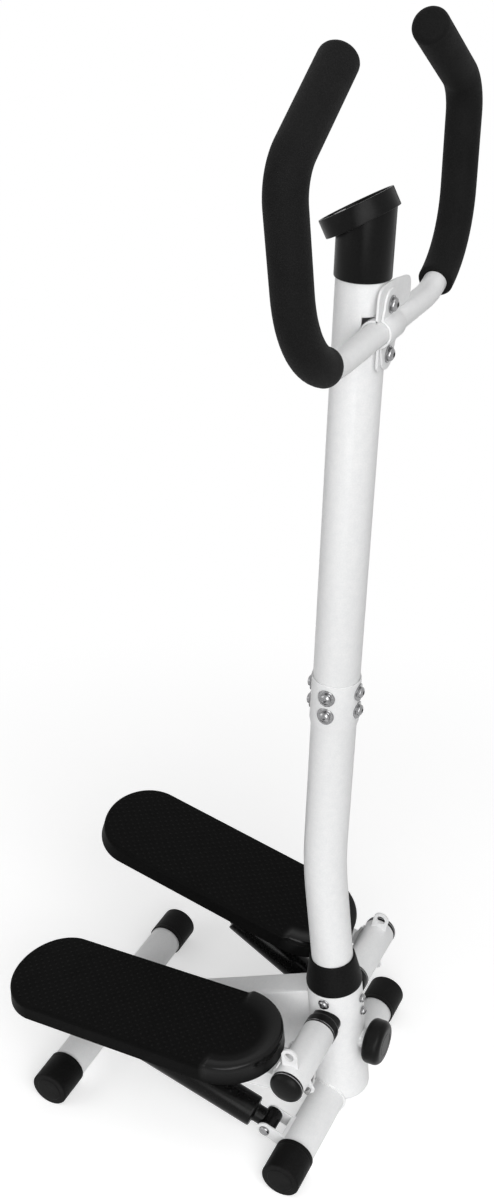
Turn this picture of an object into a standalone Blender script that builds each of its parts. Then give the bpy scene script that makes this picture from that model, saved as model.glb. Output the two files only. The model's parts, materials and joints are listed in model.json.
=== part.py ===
# Mini stepper with a tall handlebar post, modelled as an assembly of separate pieces.
# Metres, +Z up. The user stands on the pedals at +Y and faces the post at -Y, so the
# user's right hand and right pedal are at -X. The pedals rest at two unlike heights.
import math

import bmesh
import bpy
from mathutils import Matrix, Vector

# Running, seating and thread gaps
SEAT_GAP = 0.0003
RUNNING_GAP = 0.0004
LINK_GAP = 0.0012

# Floor tubes and their rubber caps
BASE_WIDTH = 0.398
FLOOR_TUBE_RADIUS = 0.0253
FLOOR_TUBE_WALL = 0.0020
FOOT_CAP_WALL = 0.0019
FOOT_CAP_RADIUS = FLOOR_TUBE_RADIUS + SEAT_GAP + FOOT_CAP_WALL
FOOT_CAP_LENGTH = 0.0500
FOOT_CAP_END = 0.0040
FOOT_CAP_FLAT = 0.0008
FLOOR_AXIS_HEIGHT = FOOT_CAP_RADIUS - FOOT_CAP_FLAT
BASE_LENGTH = 0.3697

# Axle on which both pedal arms swing
AXLE_Y = 0.0040
AXLE_HEIGHT = 0.1740
AXLE_RADIUS = 0.0100
AXLE_OVERHANG = 0.0080

# Hub, the stout socket that holds the post, leaning to the rear
HUB_LEAN = math.radians(5.0)
HUB_RADIUS = 0.0385
HUB_WALL = 0.0030
HUB_ABOVE_AXLE = 0.0440
HUB_FOOT_HEIGHT = 0.0221
HUB_BELOW_AXLE = (AXLE_HEIGHT - HUB_FOOT_HEIGHT) / math.cos(HUB_LEAN)
HUB_CORNER = 0.0120
HUB_FLOOR = 0.0040

# Spine from the hub down to the rear floor tube
SPINE_HALF_WIDTH = 0.0215
SPINE_WALL = 0.0025
SPINE_RISE = 0.0293
SPINE_TOP_HEIGHT = AXLE_HEIGHT + SPINE_RISE
SPINE_TOP_Y = 0.0360
SPINE_REAR_HEIGHT = 0.0441
SPINE_FOOT_FRONT = 0.0500
SPINE_FOOT_REAR = 0.0230

# Post, collar and the bolted coupling
LOWER_POST_RADIUS = 0.0287
POST_WALL = 0.0020
POST_START = 0.0160
BEND_HEIGHT = 0.4210
BEND_TANGENT = 0.0400
UPPER_LEAN = math.radians(-2.38)
UPPER_POST_RADIUS = 0.0290
CUP_WALL = 0.0014
CUP_TOP_HEIGHT = 0.7175
CUP_DEPTH = 0.0620
CUP_TAPER = 0.0090
UPPER_POST_TOP = 1.2360
COLLAR_HEIGHT = 0.0460
COLLAR_TOP_WALL = 0.0019
COLLAR_TOP_RADIUS = LOWER_POST_RADIUS + COLLAR_TOP_WALL
COLLAR_SKIRT = 0.0240
CUP_SCREW_DEPTH = 0.0170
CUP_SCREW_STEP = 0.0260

# Screws with dished washers
SCREW_RADIUS = 0.0030
SCREW_HEAD_RADIUS = 0.0070
SCREW_HEAD_HEIGHT = 0.0055
WASHER_RADIUS = 0.0112
HUB_WASHER_RADIUS = 0.0076
CLAMP_WASHER_RADIUS = 0.0095
SMALL_WASHER_RADIUS = 0.0063
WASHER_THICKNESS = 0.0014
HUB_SCREW_RISE = 0.0320
HUB_FRONT_SCREW_RISE = 0.0265
AXLE_SCREW_RISE = 0.0040
HUB_SCREW_HEIGHT = AXLE_HEIGHT + HUB_SCREW_RISE
HUB_FRONT_SCREW_HEIGHT = AXLE_HEIGHT + HUB_FRONT_SCREW_RISE
AXLE_SCREW_HEIGHT = AXLE_HEIGHT + AXLE_SCREW_RISE

# Handlebar: one planar bent tube with foam grips
BAR_SETBACK = 0.0280
BAR_DROP = 0.0760
BAR_HEIGHT = UPPER_POST_TOP - BAR_DROP
BAR_RADIUS = 0.0137
BAR_WALL = 0.0016
BAR_LEAN = math.radians(1.34)
BAR_CORNER_RADIUS = 0.1113
BAR_LOWER_HALF = 0.2279
BAR_KNEE_HALF = 0.2395
BAR_KNEE_RISE = 0.2062
BAR_KNEE_CUT = 0.0300
BAR_TIP_IN = 0.1275
BAR_TIP_RISE = 0.0790
GRIP_RADIUS = 0.0204
GRIP_START_ANGLE = math.radians(21.5)
GRIP_END_WALL = 0.0080

# Clamp that holds the handlebar in the post's notch
CLAMP_SHEET = 0.0025
CLAMP_HALF_WIDTH = 0.0220
CLAMP_EAR_RADIUS = 0.0170
CLAMP_BOLT_REACH = 0.0135
CLAMP_BOLT_RISE = BAR_RADIUS + CLAMP_BOLT_REACH
CLAMP_BOLT_RADIUS = 0.0038
SADDLE_RIGHT = 0.0300
SADDLE_LEFT = 0.0640
SADDLE_RISE = 0.0505
SADDLE_END_RISE = 0.0420
SADDLE_SHOULDER = 0.0100
SADDLE_DROP = 0.0440
SADDLE_CORNER = 0.0180

# Monitor housing, console, lens and button
MONITOR_TILT = math.radians(27.2)
MONITOR_REARWARD = 0.0130
MONITOR_RISE = 0.0508
MONITOR_HEIGHT = UPPER_POST_TOP + MONITOR_RISE
MONITOR_RADIUS = 0.0420
MONITOR_THICKNESS = 0.0202
MONITOR_WALL = 0.0035
MONITOR_CUP_DEPTH = 0.0130
HOUSING_WALL = 0.0016
HOUSING_CLEARANCE = 0.0025
HOUSING_BOTTOM = BAR_HEIGHT + SADDLE_RISE + HOUSING_CLEARANCE
CONSOLE_RECESS = 0.0030
LENS_WIDTH = 0.0420
LENS_HEIGHT = 0.0200
LENS_DEPTH = 0.0015
LENS_OFFSET = -0.0070
BUTTON_RADIUS = 0.0065
BUTTON_OFFSET = 0.0200
BUTTON_PROUD = 0.0018

# Knob, spindle, pulley fork, pulley and cable
KNOB_DROP = 0.0470
KNOB_HEIGHT = AXLE_HEIGHT - KNOB_DROP
KNOB_RADIUS = 0.0318
KNOB_THICKNESS = 0.0265
KNOB_STANDOFF = 0.0065
BOSS_RADIUS = 0.0140
SPINDLE_RADIUS = 0.0050
SPINDLE_REACH = 0.0575
CABLE_RADIUS = 0.0018
CABLE_RISE = 0.0170
CABLE_HEIGHT = KNOB_HEIGHT + CABLE_RISE
PULLEY_RADIUS = 0.0140
PULLEY_GROOVE_DEPTH = 0.0035
PULLEY_GROOVE_RADIUS = PULLEY_RADIUS - PULLEY_GROOVE_DEPTH
PULLEY_THICKNESS = 0.0060
PULLEY_Y = 0.0060
PULLEY_PIN_RADIUS = 0.0030
FORK_HALF_WIDTH = 0.0090
FORK_PLATE = 0.0030
CABLE_JOIN_X = 0.0465
CABLE_JOIN_GAP = 0.0010
CABLE_WINDOW_RADIUS = 0.0068
CABLE_FITTING_RADIUS = 0.0038
CABLE_FITTING_LENGTH = 0.0080

# Pedal arms: a sleeve on the axle and a channel under the pedal
RIGHT_PITCH = math.radians(-1.30)
LEFT_PITCH = math.radians(14.57)
SLEEVE_RADIUS = 0.0229
SLEEVE_WALL = 0.0034
CLEVIS_INSET = 0.0240
SLEEVE_INWARD = 0.0623
SLEEVE_OUTWARD = 0.0380
ARM_CENTRE_X = BASE_WIDTH / 2 - FOOT_CAP_LENGTH - CLEVIS_INSET
SLEEVE_INNER_X = ARM_CENTRE_X - SLEEVE_INWARD
SLEEVE_OUTER_X = ARM_CENTRE_X + SLEEVE_OUTWARD
AXLE_LENGTH = 2 * (SLEEVE_OUTER_X + AXLE_OVERHANG)
ARM_WIDTH = 0.0530
ARM_SHEET = 0.0025
ARM_CLEARANCE = 0.0006
ARM_TAIL = 0.0300
ARM_TAIL_DEPTH = 0.0300
ARM_ROOT_DEPTH = 0.0300
LINK_REACH = 0.2800
ARM_END = LINK_REACH + ARM_TAIL
LINK_DROP = 0.0515
LINK_EYE_RADIUS = 0.0115
ANCHOR_REACH = 0.0114
ANCHOR_RADIUS = SLEEVE_RADIUS + ANCHOR_REACH
ANCHOR_ANGLE = math.radians(-119.0)
ANCHOR_OUTWARD = 0.0070
ANCHOR_X = ARM_CENTRE_X + ANCHOR_OUTWARD
ANCHOR_SHEET = 0.0030
ANCHOR_EAR = 0.0075
TAB_OUTWARD = 0.0250
TAB_X = ARM_CENTRE_X + TAB_OUTWARD
TAB_ANGLE = math.radians(86.0)
TAB_REACH = 0.0150
TAB_RADIUS = SLEEVE_RADIUS + TAB_REACH
TAB_HALF_WIDTH = 0.0115
TAB_HOLE_RADIUS = 0.0068
TAB_SHEET = 0.0040

# Bushings and end caps on the axle
BUSH_COLLAR_STEP = 0.0007
BUSH_COLLAR_RADIUS = SLEEVE_RADIUS + BUSH_COLLAR_STEP
BUSH_FLANGE = 0.0014
BUSH_LENGTH = 0.0220
AXLE_CAP_STEP = 0.0001
AXLE_CAP_RADIUS = SLEEVE_RADIUS + AXLE_CAP_STEP
AXLE_CAP_LENGTH = 0.0130

# Pedals
PEDAL_WIDTH = 0.1550
PEDAL_INWARD = 0.0027
PEDAL_INNER_X = ARM_CENTRE_X - PEDAL_INWARD - PEDAL_WIDTH / 2
PEDAL_OUTER_X = PEDAL_INNER_X + PEDAL_WIDTH
PEDAL_TOE = 0.0325
PEDAL_HEEL = 0.4480
PEDAL_HEEL_DEPTH = 0.0620
PEDAL_TOP = 0.0175
PEDAL_SKIRT = 0.0225
PEDAL_SHEET = 0.0040
ARM_TOP = PEDAL_TOP - PEDAL_SKIRT - ARM_CLEARANCE
PEDAL_FLARE = 0.0010
TOE_RISE = 0.0070
TOE_WIDTH = 0.0340
RIB_START = 0.1300
RIB_STEP = 0.0800
RIB_SHEET = 0.0040
RIB_COUNT = 3

# Hydraulic cylinders between the front floor tube and the arms
CLEVIS_REACH = 0.0235
CLEVIS_RISE = 0.0171
CLEVIS_Y = FLOOR_TUBE_RADIUS + CLEVIS_REACH
CLEVIS_HEIGHT = FLOOR_AXIS_HEIGHT + CLEVIS_RISE
CLEVIS_GAP = 0.0310
CLEVIS_SHEET = 0.0030
CLEVIS_EAR_RADIUS = 0.0118
CLEVIS_WEB = 0.0035
PIN_RADIUS = 0.0040
PIN_HEAD_RADIUS = 0.0076
PIN_HEAD_HEIGHT = 0.0045
CYLINDER_RADIUS = 0.0219
CYLINDER_WALL = 0.0034
CYLINDER_START = 0.0240
ROD_SHOWN = 0.0132
GLAND_LENGTH = 0.0150
ROD_RADIUS = 0.0060
ROD_LENGTH = 0.1650
PISTON_LENGTH = 0.0120
LOWER_EYE_RADIUS = 0.0122

# Vertices closer than this are one vertex
MERGE = 0.00002

# Facets round each kind of piece
FINE = 20
MEDIUM = 14
SMALL = 8

SIDES = (("right", -1.0, RIGHT_PITCH), ("left", 1.0, LEFT_PITCH))
COLOURS = {
    "white_coat": ((0.80, 0.80, 0.80), 0.35, 0.0),
    "black_foam": ((0.012, 0.012, 0.012), 0.9, 0.0),
    "black_rubber": ((0.016, 0.016, 0.016), 0.7, 0.0),
    "black_plastic": ((0.014, 0.014, 0.014), 0.45, 0.0),
    "black_paint": ((0.012, 0.012, 0.012), 0.3, 0.0),
    "chrome_steel": ((0.62, 0.62, 0.62), 0.2, 1.0),
    "steel_cable": ((0.22, 0.22, 0.22), 0.4, 1.0),
    "smoked_lens": ((0.03, 0.035, 0.035), 0.08, 0.0),
    "grey_button": ((0.35, 0.35, 0.35), 0.5, 0.0),
}


def clear_scene():
    for item in list(bpy.data.objects):
        bpy.data.objects.remove(item, do_unlink=True)


def material(name):
    found = bpy.data.materials.get(name)
    if found:
        return found
    colour, roughness, metallic = COLOURS[name]
    made = bpy.data.materials.new(name)
    made.use_nodes = True
    shader = made.node_tree.nodes["Principled BSDF"]
    shader.inputs["Base Color"].default_value = (*colour, 1.0)
    shader.inputs["Roughness"].default_value = roughness
    shader.inputs["Metallic"].default_value = metallic
    return made


def empty(name, parent=None, location=(0, 0, 0), rotation=(0, 0, 0)):
    made = bpy.data.objects.new(name, None)
    bpy.context.scene.collection.objects.link(made)
    made.location = location
    made.rotation_euler = rotation
    made.parent = parent
    return made


def solid(name, bm, finish="white_coat", parent=None, location=(0, 0, 0), rotation=(0, 0, 0)):
    """Turn a bmesh into a named object whose faces all point outwards."""
    bmesh.ops.remove_doubles(bm, verts=bm.verts, dist=1e-6)
    bmesh.ops.recalc_face_normals(bm, faces=bm.faces)
    mesh = bpy.data.meshes.new(name)
    bm.to_mesh(mesh)
    bm.free()
    mesh.materials.append(material(finish))
    made = bpy.data.objects.new(name, mesh)
    bpy.context.scene.collection.objects.link(made)
    made.location = location
    made.rotation_euler = rotation
    made.parent = parent
    mesh.shade_smooth()
    mesh.set_sharp_from_angle(angle=math.radians(35))
    return made


def turned(profile, steps, closed=False):
    """Spin a profile of (radius, height) points once round the Z axis."""
    bm = bmesh.new()
    points = [bm.verts.new((radius, 0.0, height)) for radius, height in profile]
    pairs = list(zip(points, points[1:]))
    if closed:
        pairs.append((points[-1], points[0]))
    edges = [bm.edges.new(pair) for pair in pairs]
    bmesh.ops.spin(bm, geom=points + edges, cent=(0, 0, 0), axis=(0, 0, 1), dvec=(0, 0, 0),
                   angle=2 * math.pi, steps=steps, use_merge=True)
    bmesh.ops.remove_doubles(bm, verts=bm.verts, dist=1e-6)
    return bm


def pipe(outer, inner, low, high, steps, rim=0.0):
    """A round tube along Z, with its rims eased by the given amount."""
    if rim:
        profile = [(inner, low), (outer - rim, low), (outer, low + rim), (outer, high - rim),
                   (outer - rim, high), (inner, high)]
    else:
        profile = [(inner, low), (outer, low), (outer, high), (inner, high)]
    return turned(profile, steps, closed=True)


def rod(radius, low, high, steps, rim=0.0):
    """A solid round bar along Z."""
    profile = [(0.0, low), (radius - rim, low), (radius, low + rim), (radius, high - rim),
               (radius - rim, high), (0.0, high)]
    return turned(profile, steps)


def turn(bm, matrix):
    bmesh.ops.transform(bm, matrix=matrix, verts=bm.verts)
    return bm


def along_x(bm, x=0.0, y=0.0, z=0.0):
    """Lay a shape that was made along Z on the X axis, then move it."""
    return turn(bm, Matrix.Translation((x, y, z)) @ Matrix.Rotation(math.pi / 2, 4, "Y"))


def along_y(bm, x=0.0, y=0.0, z=0.0):
    """Lay a shape that was made along Z on the Y axis, then move it."""
    return turn(bm, Matrix.Translation((x, y, z)) @ Matrix.Rotation(-math.pi / 2, 4, "X"))


def block(low, high, ease=0.0):
    """A box between two corners, with all its edges eased."""
    bm = bmesh.new()
    bmesh.ops.create_cube(bm, size=1.0)
    size = [b - a for a, b in zip(low, high)]
    middle = [(a + b) / 2 for a, b in zip(low, high)]
    turn(bm, Matrix.Translation(middle) @ Matrix.Diagonal((*size, 1.0)))
    if ease:
        bmesh.ops.bevel(bm, geom=bm.edges[:], offset=ease, segments=2, affect="EDGES", profile=0.5)
    return bm


def plate(outline, low, high, axis="X"):
    """Extrude a flat outline. Its points are (y, z) for axis X and (x, z) for axis Y."""
    bm = bmesh.new()
    if axis == "X":
        corners = [bm.verts.new((low, a, b)) for a, b in outline]
        step = (high - low, 0, 0)
    else:
        corners = [bm.verts.new((a, low, b)) for a, b in outline]
        step = (0, high - low, 0)
    face = bm.faces.new(corners)
    grown = bmesh.ops.extrude_face_region(bm, geom=[face])
    moved = [item for item in grown["geom"] if isinstance(item, bmesh.types.BMVert)]
    bmesh.ops.translate(bm, verts=moved, vec=step)
    return bm


def arc(centre, radius, start, end, count):
    """Points of an arc in a plane, with its two ends."""
    angles = [start + (end - start) * k / count for k in range(count + 1)]
    return [(centre[0] + radius * math.cos(a), centre[1] + radius * math.sin(a)) for a in angles]


def rounded(points, radius, count=4):
    """A closed outline whose corners are rounded by the given radius."""
    made = []
    for k, here in enumerate(points):
        before = Vector(points[k - 1]) - Vector(here)
        after = Vector(points[(k + 1) % len(points)]) - Vector(here)
        half = before.angle(after) / 2
        cut = min(radius / math.tan(half), before.length * 0.49, after.length * 0.49)
        first = Vector(here) + before.normalized() * cut
        last = Vector(here) + after.normalized() * cut
        for step in range(count + 1):
            t = step / count
            bent = first * (1 - t) ** 2 + Vector(here) * 2 * t * (1 - t) + last * t ** 2
            made.append((bent.x, bent.y))
    return made


def combine(target, tool_mesh, operation="DIFFERENCE", parent=None):
    """Cut a shape from the target, or join one to it, and bake the result in its mesh."""
    tool = solid("tool", tool_mesh, parent=parent)
    bpy.context.view_layer.update()
    change = target.modifiers.new("shape", "BOOLEAN")
    change.operation = operation
    change.solver = "EXACT"
    change.object = tool
    graph = bpy.context.evaluated_depsgraph_get()
    result = bpy.data.meshes.new_from_object(target.evaluated_get(graph))
    target.modifiers.remove(change)
    clean = bmesh.new()
    clean.from_mesh(result)
    bmesh.ops.remove_doubles(clean, verts=clean.verts, dist=MERGE)
    bmesh.ops.dissolve_degenerate(clean, edges=clean.edges, dist=MERGE)
    bmesh.ops.dissolve_limit(clean, angle_limit=math.radians(0.3), verts=clean.verts, edges=clean.edges)
    clean.to_mesh(result)
    clean.free()
    old = target.data
    target.data = result
    result.name = target.name
    bpy.data.meshes.remove(old)
    bpy.data.objects.remove(tool, do_unlink=True)
    result.shade_smooth()
    result.set_sharp_from_angle(angle=math.radians(35))
    return target


def join(target, tool_mesh, parent=None):
    return combine(target, tool_mesh, "UNION", parent)


def frames(path):
    """The path's points with the tangent at each."""
    made = []
    for k, here in enumerate(path):
        before = path[max(k - 1, 0)]
        after = path[min(k + 1, len(path) - 1)]
        made.append((Vector(here), (Vector(after) - Vector(before)).normalized()))
    return made


def ring(bm, centre, tangent, radius, steps, side=Vector((1, 0, 0))):
    """A loop of vertices square to the path, started from a fixed side direction."""
    across = (side - tangent * side.dot(tangent)).normalized()
    up = tangent.cross(across)
    loop = []
    for k in range(steps):
        angle = 2 * math.pi * k / steps
        loop.append(bm.verts.new(centre + (across * math.cos(angle) + up * math.sin(angle)) * radius))
    return loop


def stitch(bm, first, second):
    for k in range(len(first)):
        n = (k + 1) % len(first)
        bm.faces.new((first[k], first[n], second[n], second[k]))


def swept(stations, steps, side=Vector((1, 0, 0)), ring_shape=True):
    """Sweep circles along (point, tangent, radius) stations; a ring shape closes on itself."""
    bm = bmesh.new()
    loops = [ring(bm, point, tangent, radius, steps, side) for point, tangent, radius in stations]
    for first, second in zip(loops, loops[1:]):
        stitch(bm, first, second)
    if ring_shape:
        stitch(bm, loops[-1], loops[0])
    else:
        bm.faces.new(loops[0][::-1])
        bm.faces.new(loops[-1])
    return bm


def lean_axis(offset):
    """A point on the leaning axis of the hub and lower post, measured up from the axle."""
    return Vector((0.0, AXLE_Y + offset * math.sin(HUB_LEAN), AXLE_HEIGHT + offset * math.cos(HUB_LEAN)))


def lean_y(height):
    return AXLE_Y + (height - AXLE_HEIGHT) * math.tan(HUB_LEAN)


def upper_y(height):
    return lean_y(BEND_HEIGHT) + (height - BEND_HEIGHT) * math.tan(UPPER_LEAN)


def bar_y():
    """The Y of the handlebar's axis, a set distance in front of the post's."""
    return upper_y(BAR_HEIGHT) - BAR_SETBACK


def screw_mesh(shank, head_radius, head_height, washer_radius, washer, steps=SMALL):
    """A button head screw along +Z: shank below zero, dished washer and head above."""
    profile = [(0.0, -shank), (SCREW_RADIUS, -shank), (SCREW_RADIUS, 0.0), (washer_radius, 0.0),
               (washer_radius, washer), (head_radius, washer), (head_radius, washer + head_height * 0.35),
               (head_radius * 0.82, washer + head_height * 0.75), (head_radius * 0.5, washer + head_height),
               (0.0, washer + head_height)]
    return turned(profile, steps)


# Base frame

def floor_tube(name, y):
    length = BASE_WIDTH - 2 * (FOOT_CAP_END + SEAT_GAP)
    mesh = pipe(FLOOR_TUBE_RADIUS, FLOOR_TUBE_RADIUS - FLOOR_TUBE_WALL, -length / 2, length / 2, FINE)
    return solid(name, along_x(mesh), parent=machine, location=(0, y, FLOOR_AXIS_HEIGHT))


def foot_cap(name, side, y):
    """A cup that slips over the tube's end, flat underneath where it stands."""
    inner = FLOOR_TUBE_RADIUS + SEAT_GAP
    mouth = FOOT_CAP_LENGTH
    end_disc = FOOT_CAP_RADIUS * 0.66
    profile = [(0.0, 0.0), (end_disc - 0.0008, 0.0), (end_disc, 0.0008), (FOOT_CAP_RADIUS - 0.0030, 0.0008),
               (FOOT_CAP_RADIUS, 0.0038), (FOOT_CAP_RADIUS, mouth), (inner, mouth),
               (inner, FOOT_CAP_END), (0.0, FOOT_CAP_END)]
    bm = turned(profile, FINE)
    turn(bm, Matrix.Rotation(-side * math.pi / 2, 4, "Y"))
    turn(bm, Matrix.Translation((side * BASE_WIDTH / 2, y, FLOOR_AXIS_HEIGHT)))
    cut = bmesh.ops.bisect_plane(bm, geom=bm.verts[:] + bm.edges[:] + bm.faces[:], plane_co=(0, 0, 0),
                                 plane_no=(0, 0, -1), clear_outer=True)
    rim = [item for item in cut["geom_cut"] if isinstance(item, bmesh.types.BMEdge)]
    bmesh.ops.edgeloop_fill(bm, edges=rim)
    return solid(name, bm, "black_rubber", parent=machine)


def hub_outer(grow=0.0):
    """The hub's outside as a solid, in the leaning frame of the axle."""
    radius = HUB_RADIUS + grow
    low = -HUB_BELOW_AXLE - grow
    corner = [(radius - HUB_CORNER + HUB_CORNER * math.sin(a), low + HUB_CORNER - HUB_CORNER * math.cos(a))
              for a in [math.radians(k * 22.5) for k in range(5)]]
    return turned([(0.0, low)] + corner + [(radius, HUB_ABOVE_AXLE), (0.0, HUB_ABOVE_AXLE)], FINE)


def screw_bore(extra=SEAT_GAP, length=0.04):
    return rod(SCREW_RADIUS + extra, -length / 2, length / 2, SMALL)


def front_surface(height, radius):
    """The foremost Y of the leaning tube at a height."""
    return lean_y(height) - radius / math.cos(HUB_LEAN)


def make_hub():
    hub = solid("hub", hub_outer(), parent=machine, location=lean_axis(0), rotation=(-HUB_LEAN, 0, 0))
    knob_y = front_surface(KNOB_HEIGHT, HUB_RADIUS)
    boss = along_y(rod(BOSS_RADIUS, knob_y - KNOB_STANDOFF + SEAT_GAP, lean_y(KNOB_HEIGHT), MEDIUM, 0.001),
                   z=KNOB_HEIGHT)
    join(hub, boss, parent=machine)
    inner = turned([(0.0, -HUB_BELOW_AXLE + HUB_FLOOR), (HUB_RADIUS - HUB_WALL - HUB_CORNER * 0.6,
                    -HUB_BELOW_AXLE + HUB_FLOOR), (HUB_RADIUS - HUB_WALL, -HUB_BELOW_AXLE + HUB_CORNER),
                    (HUB_RADIUS - HUB_WALL, HUB_ABOVE_AXLE + 0.01), (0.0, HUB_ABOVE_AXLE + 0.01)], FINE)
    turn(inner, Matrix.Translation(lean_axis(0)) @ Matrix.Rotation(-HUB_LEAN, 4, "X"))
    combine(hub, inner, parent=machine)
    combine(hub, along_x(rod(FLOOR_TUBE_RADIUS + SEAT_GAP, -0.06, 0.06, FINE), z=FLOOR_AXIS_HEIGHT),
            parent=machine)
    combine(hub, along_x(rod(AXLE_RADIUS + SEAT_GAP, -0.06, 0.06, MEDIUM), y=AXLE_Y, z=AXLE_HEIGHT),
            parent=machine)
    combine(hub, along_y(rod(SPINDLE_RADIUS + RUNNING_GAP, -0.08, 0.0, MEDIUM), z=KNOB_HEIGHT),
            parent=machine)
    meets = [cable_point(HUB_RADIUS - HUB_WALL / 2, side, pitch) for _, side, pitch in SIDES]
    window = rod(CABLE_WINDOW_RADIUS, -0.06, 0.06, SMALL)
    combine(hub, along_x(window, y=(meets[0][0] + meets[1][0]) / 2, z=(meets[0][1] + meets[1][1]) / 2),
            parent=machine)
    combine(hub, along_x(screw_bore(length=HUB_RADIUS * 3), y=lean_y(HUB_SCREW_HEIGHT), z=HUB_SCREW_HEIGHT),
            parent=machine)
    for height in (HUB_FRONT_SCREW_HEIGHT, AXLE_SCREW_HEIGHT):
        combine(hub, along_y(screw_bore(), y=front_surface(height, HUB_RADIUS), z=height), parent=machine)
    return hub


def make_spine():
    """A folded channel, open below, that tapers from the hub to the rear tube."""
    rear_y = BASE_LENGTH
    rear_top = SPINE_REAR_HEIGHT
    fall = (SPINE_TOP_HEIGHT - rear_top) / (rear_y - SPINE_TOP_Y)
    front_y = lean_y(SPINE_FOOT_FRONT)
    top_front = SPINE_TOP_HEIGHT + fall * (SPINE_TOP_Y - front_y)
    outline = [(front_y, SPINE_FOOT_FRONT), (front_y, top_front), (rear_y, rear_top),
               (rear_y, SPINE_FOOT_REAR)]
    spine = solid("spine", plate(outline, -SPINE_HALF_WIDTH, SPINE_HALF_WIDTH), parent=machine)
    drop = SPINE_WALL * math.hypot(1.0, fall)
    hollow = [(front_y - 0.02, -0.02), (front_y - 0.02, top_front + fall * 0.02 - drop),
              (rear_y + 0.02, rear_top - fall * 0.02 - drop), (rear_y + 0.02, -0.02)]
    width = SPINE_HALF_WIDTH - SPINE_WALL
    combine(spine, plate(hollow, -width, width), parent=machine)
    outer = turn(hub_outer(SEAT_GAP), Matrix.Translation(lean_axis(0)) @ Matrix.Rotation(-HUB_LEAN, 4, "X"))
    combine(spine, outer, parent=machine)
    above = rod(HUB_RADIUS + SEAT_GAP, HUB_ABOVE_AXLE - 0.01, HUB_ABOVE_AXLE + 0.06, FINE)
    turn(above, Matrix.Translation(lean_axis(0)) @ Matrix.Rotation(-HUB_LEAN, 4, "X"))
    combine(spine, above, parent=machine)
    for y in (0.0, BASE_LENGTH):
        tube = along_x(rod(FLOOR_TUBE_RADIUS + SEAT_GAP, -0.06, 0.06, FINE), y=y, z=FLOOR_AXIS_HEIGHT)
        combine(spine, tube, parent=machine)
    return spine


def make_clevis(name, side):
    """Two ears on a web that is shaped to the front floor tube."""
    reach = math.hypot(CLEVIS_Y, CLEVIS_HEIGHT - FLOOR_AXIS_HEIGHT)
    rise = math.atan2(CLEVIS_HEIGHT - FLOOR_AXIS_HEIGHT, CLEVIS_Y)
    half = CLEVIS_GAP / 2
    outline = [(0.0, -CLEVIS_EAR_RADIUS)] + arc((reach, 0.0), CLEVIS_EAR_RADIUS, -math.pi / 2, math.pi / 2, 8)
    outline.append((0.0, CLEVIS_EAR_RADIUS))
    clevis = solid(name, plate(outline, -half - CLEVIS_SHEET, half + CLEVIS_SHEET), parent=machine,
                   location=(side * ARM_CENTRE_X, 0, FLOOR_AXIS_HEIGHT), rotation=(rise, 0, 0))
    place = Matrix.Translation((side * ARM_CENTRE_X, 0, FLOOR_AXIS_HEIGHT)) @ Matrix.Rotation(rise, 4, "X")
    slot = block((-half, FLOOR_TUBE_RADIUS + CLEVIS_WEB, -0.03), (half, reach + 0.03, 0.03))
    combine(clevis, turn(slot, place), parent=machine)
    tube = along_x(rod(FLOOR_TUBE_RADIUS + SEAT_GAP, -0.04, 0.04, FINE), x=side * ARM_CENTRE_X,
                   z=FLOOR_AXIS_HEIGHT)
    combine(clevis, tube, parent=machine)
    bore = along_x(rod(PIN_RADIUS + SEAT_GAP, -0.03, 0.03, SMALL), x=side * ARM_CENTRE_X, y=CLEVIS_Y,
                   z=CLEVIS_HEIGHT)
    return combine(clevis, bore, parent=machine)


def pin_mesh(half_grip, side):
    """A pin along X with a domed head on its outer end and a swaged collar on its inner end."""
    low = -half_grip - SEAT_GAP
    high = half_grip + SEAT_GAP
    profile = [(0.0, low - 0.0030), (PIN_RADIUS + 0.0014, low - 0.0030), (PIN_RADIUS + 0.0022, low - 0.0022),
               (PIN_RADIUS + 0.0022, low), (PIN_RADIUS, low), (PIN_RADIUS, high), (PIN_HEAD_RADIUS, high),
               (PIN_HEAD_RADIUS, high + PIN_HEAD_HEIGHT * 0.35), (PIN_HEAD_RADIUS * 0.8,
               high + PIN_HEAD_HEIGHT * 0.78), (PIN_HEAD_RADIUS * 0.45, high + PIN_HEAD_HEIGHT),
               (0.0, high + PIN_HEAD_HEIGHT)]
    return turn(turned(profile, SMALL), Matrix.Rotation(side * math.pi / 2, 4, "Y"))


# Post

def make_collar():
    """A tapered rubber collar whose skirt fills the ring between hub and post."""
    low = HUB_ABOVE_AXLE + SEAT_GAP
    inner = LOWER_POST_RADIUS + SEAT_GAP
    skirt = HUB_RADIUS - HUB_WALL - SEAT_GAP
    profile = [(inner, low - COLLAR_SKIRT), (skirt, low - COLLAR_SKIRT), (skirt, low),
               (HUB_RADIUS + 0.0006, low), (HUB_RADIUS + 0.0006, low + 0.0040),
               (COLLAR_TOP_RADIUS + 0.0010, low + COLLAR_HEIGHT - 0.0020),
               (COLLAR_TOP_RADIUS, low + COLLAR_HEIGHT), (inner, low + COLLAR_HEIGHT)]
    collar = solid("post_collar", turned(profile, FINE, closed=True), "black_rubber", parent=machine,
                   location=lean_axis(0), rotation=(-HUB_LEAN, 0, 0))
    combine(collar, along_x(screw_bore(length=HUB_RADIUS * 3), y=lean_y(HUB_SCREW_HEIGHT), z=HUB_SCREW_HEIGHT),
            parent=machine)
    front = along_y(screw_bore(length=0.05), y=front_surface(HUB_FRONT_SCREW_HEIGHT, HUB_RADIUS),
                    z=HUB_FRONT_SCREW_HEIGHT)
    return combine(collar, front, parent=machine)


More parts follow.
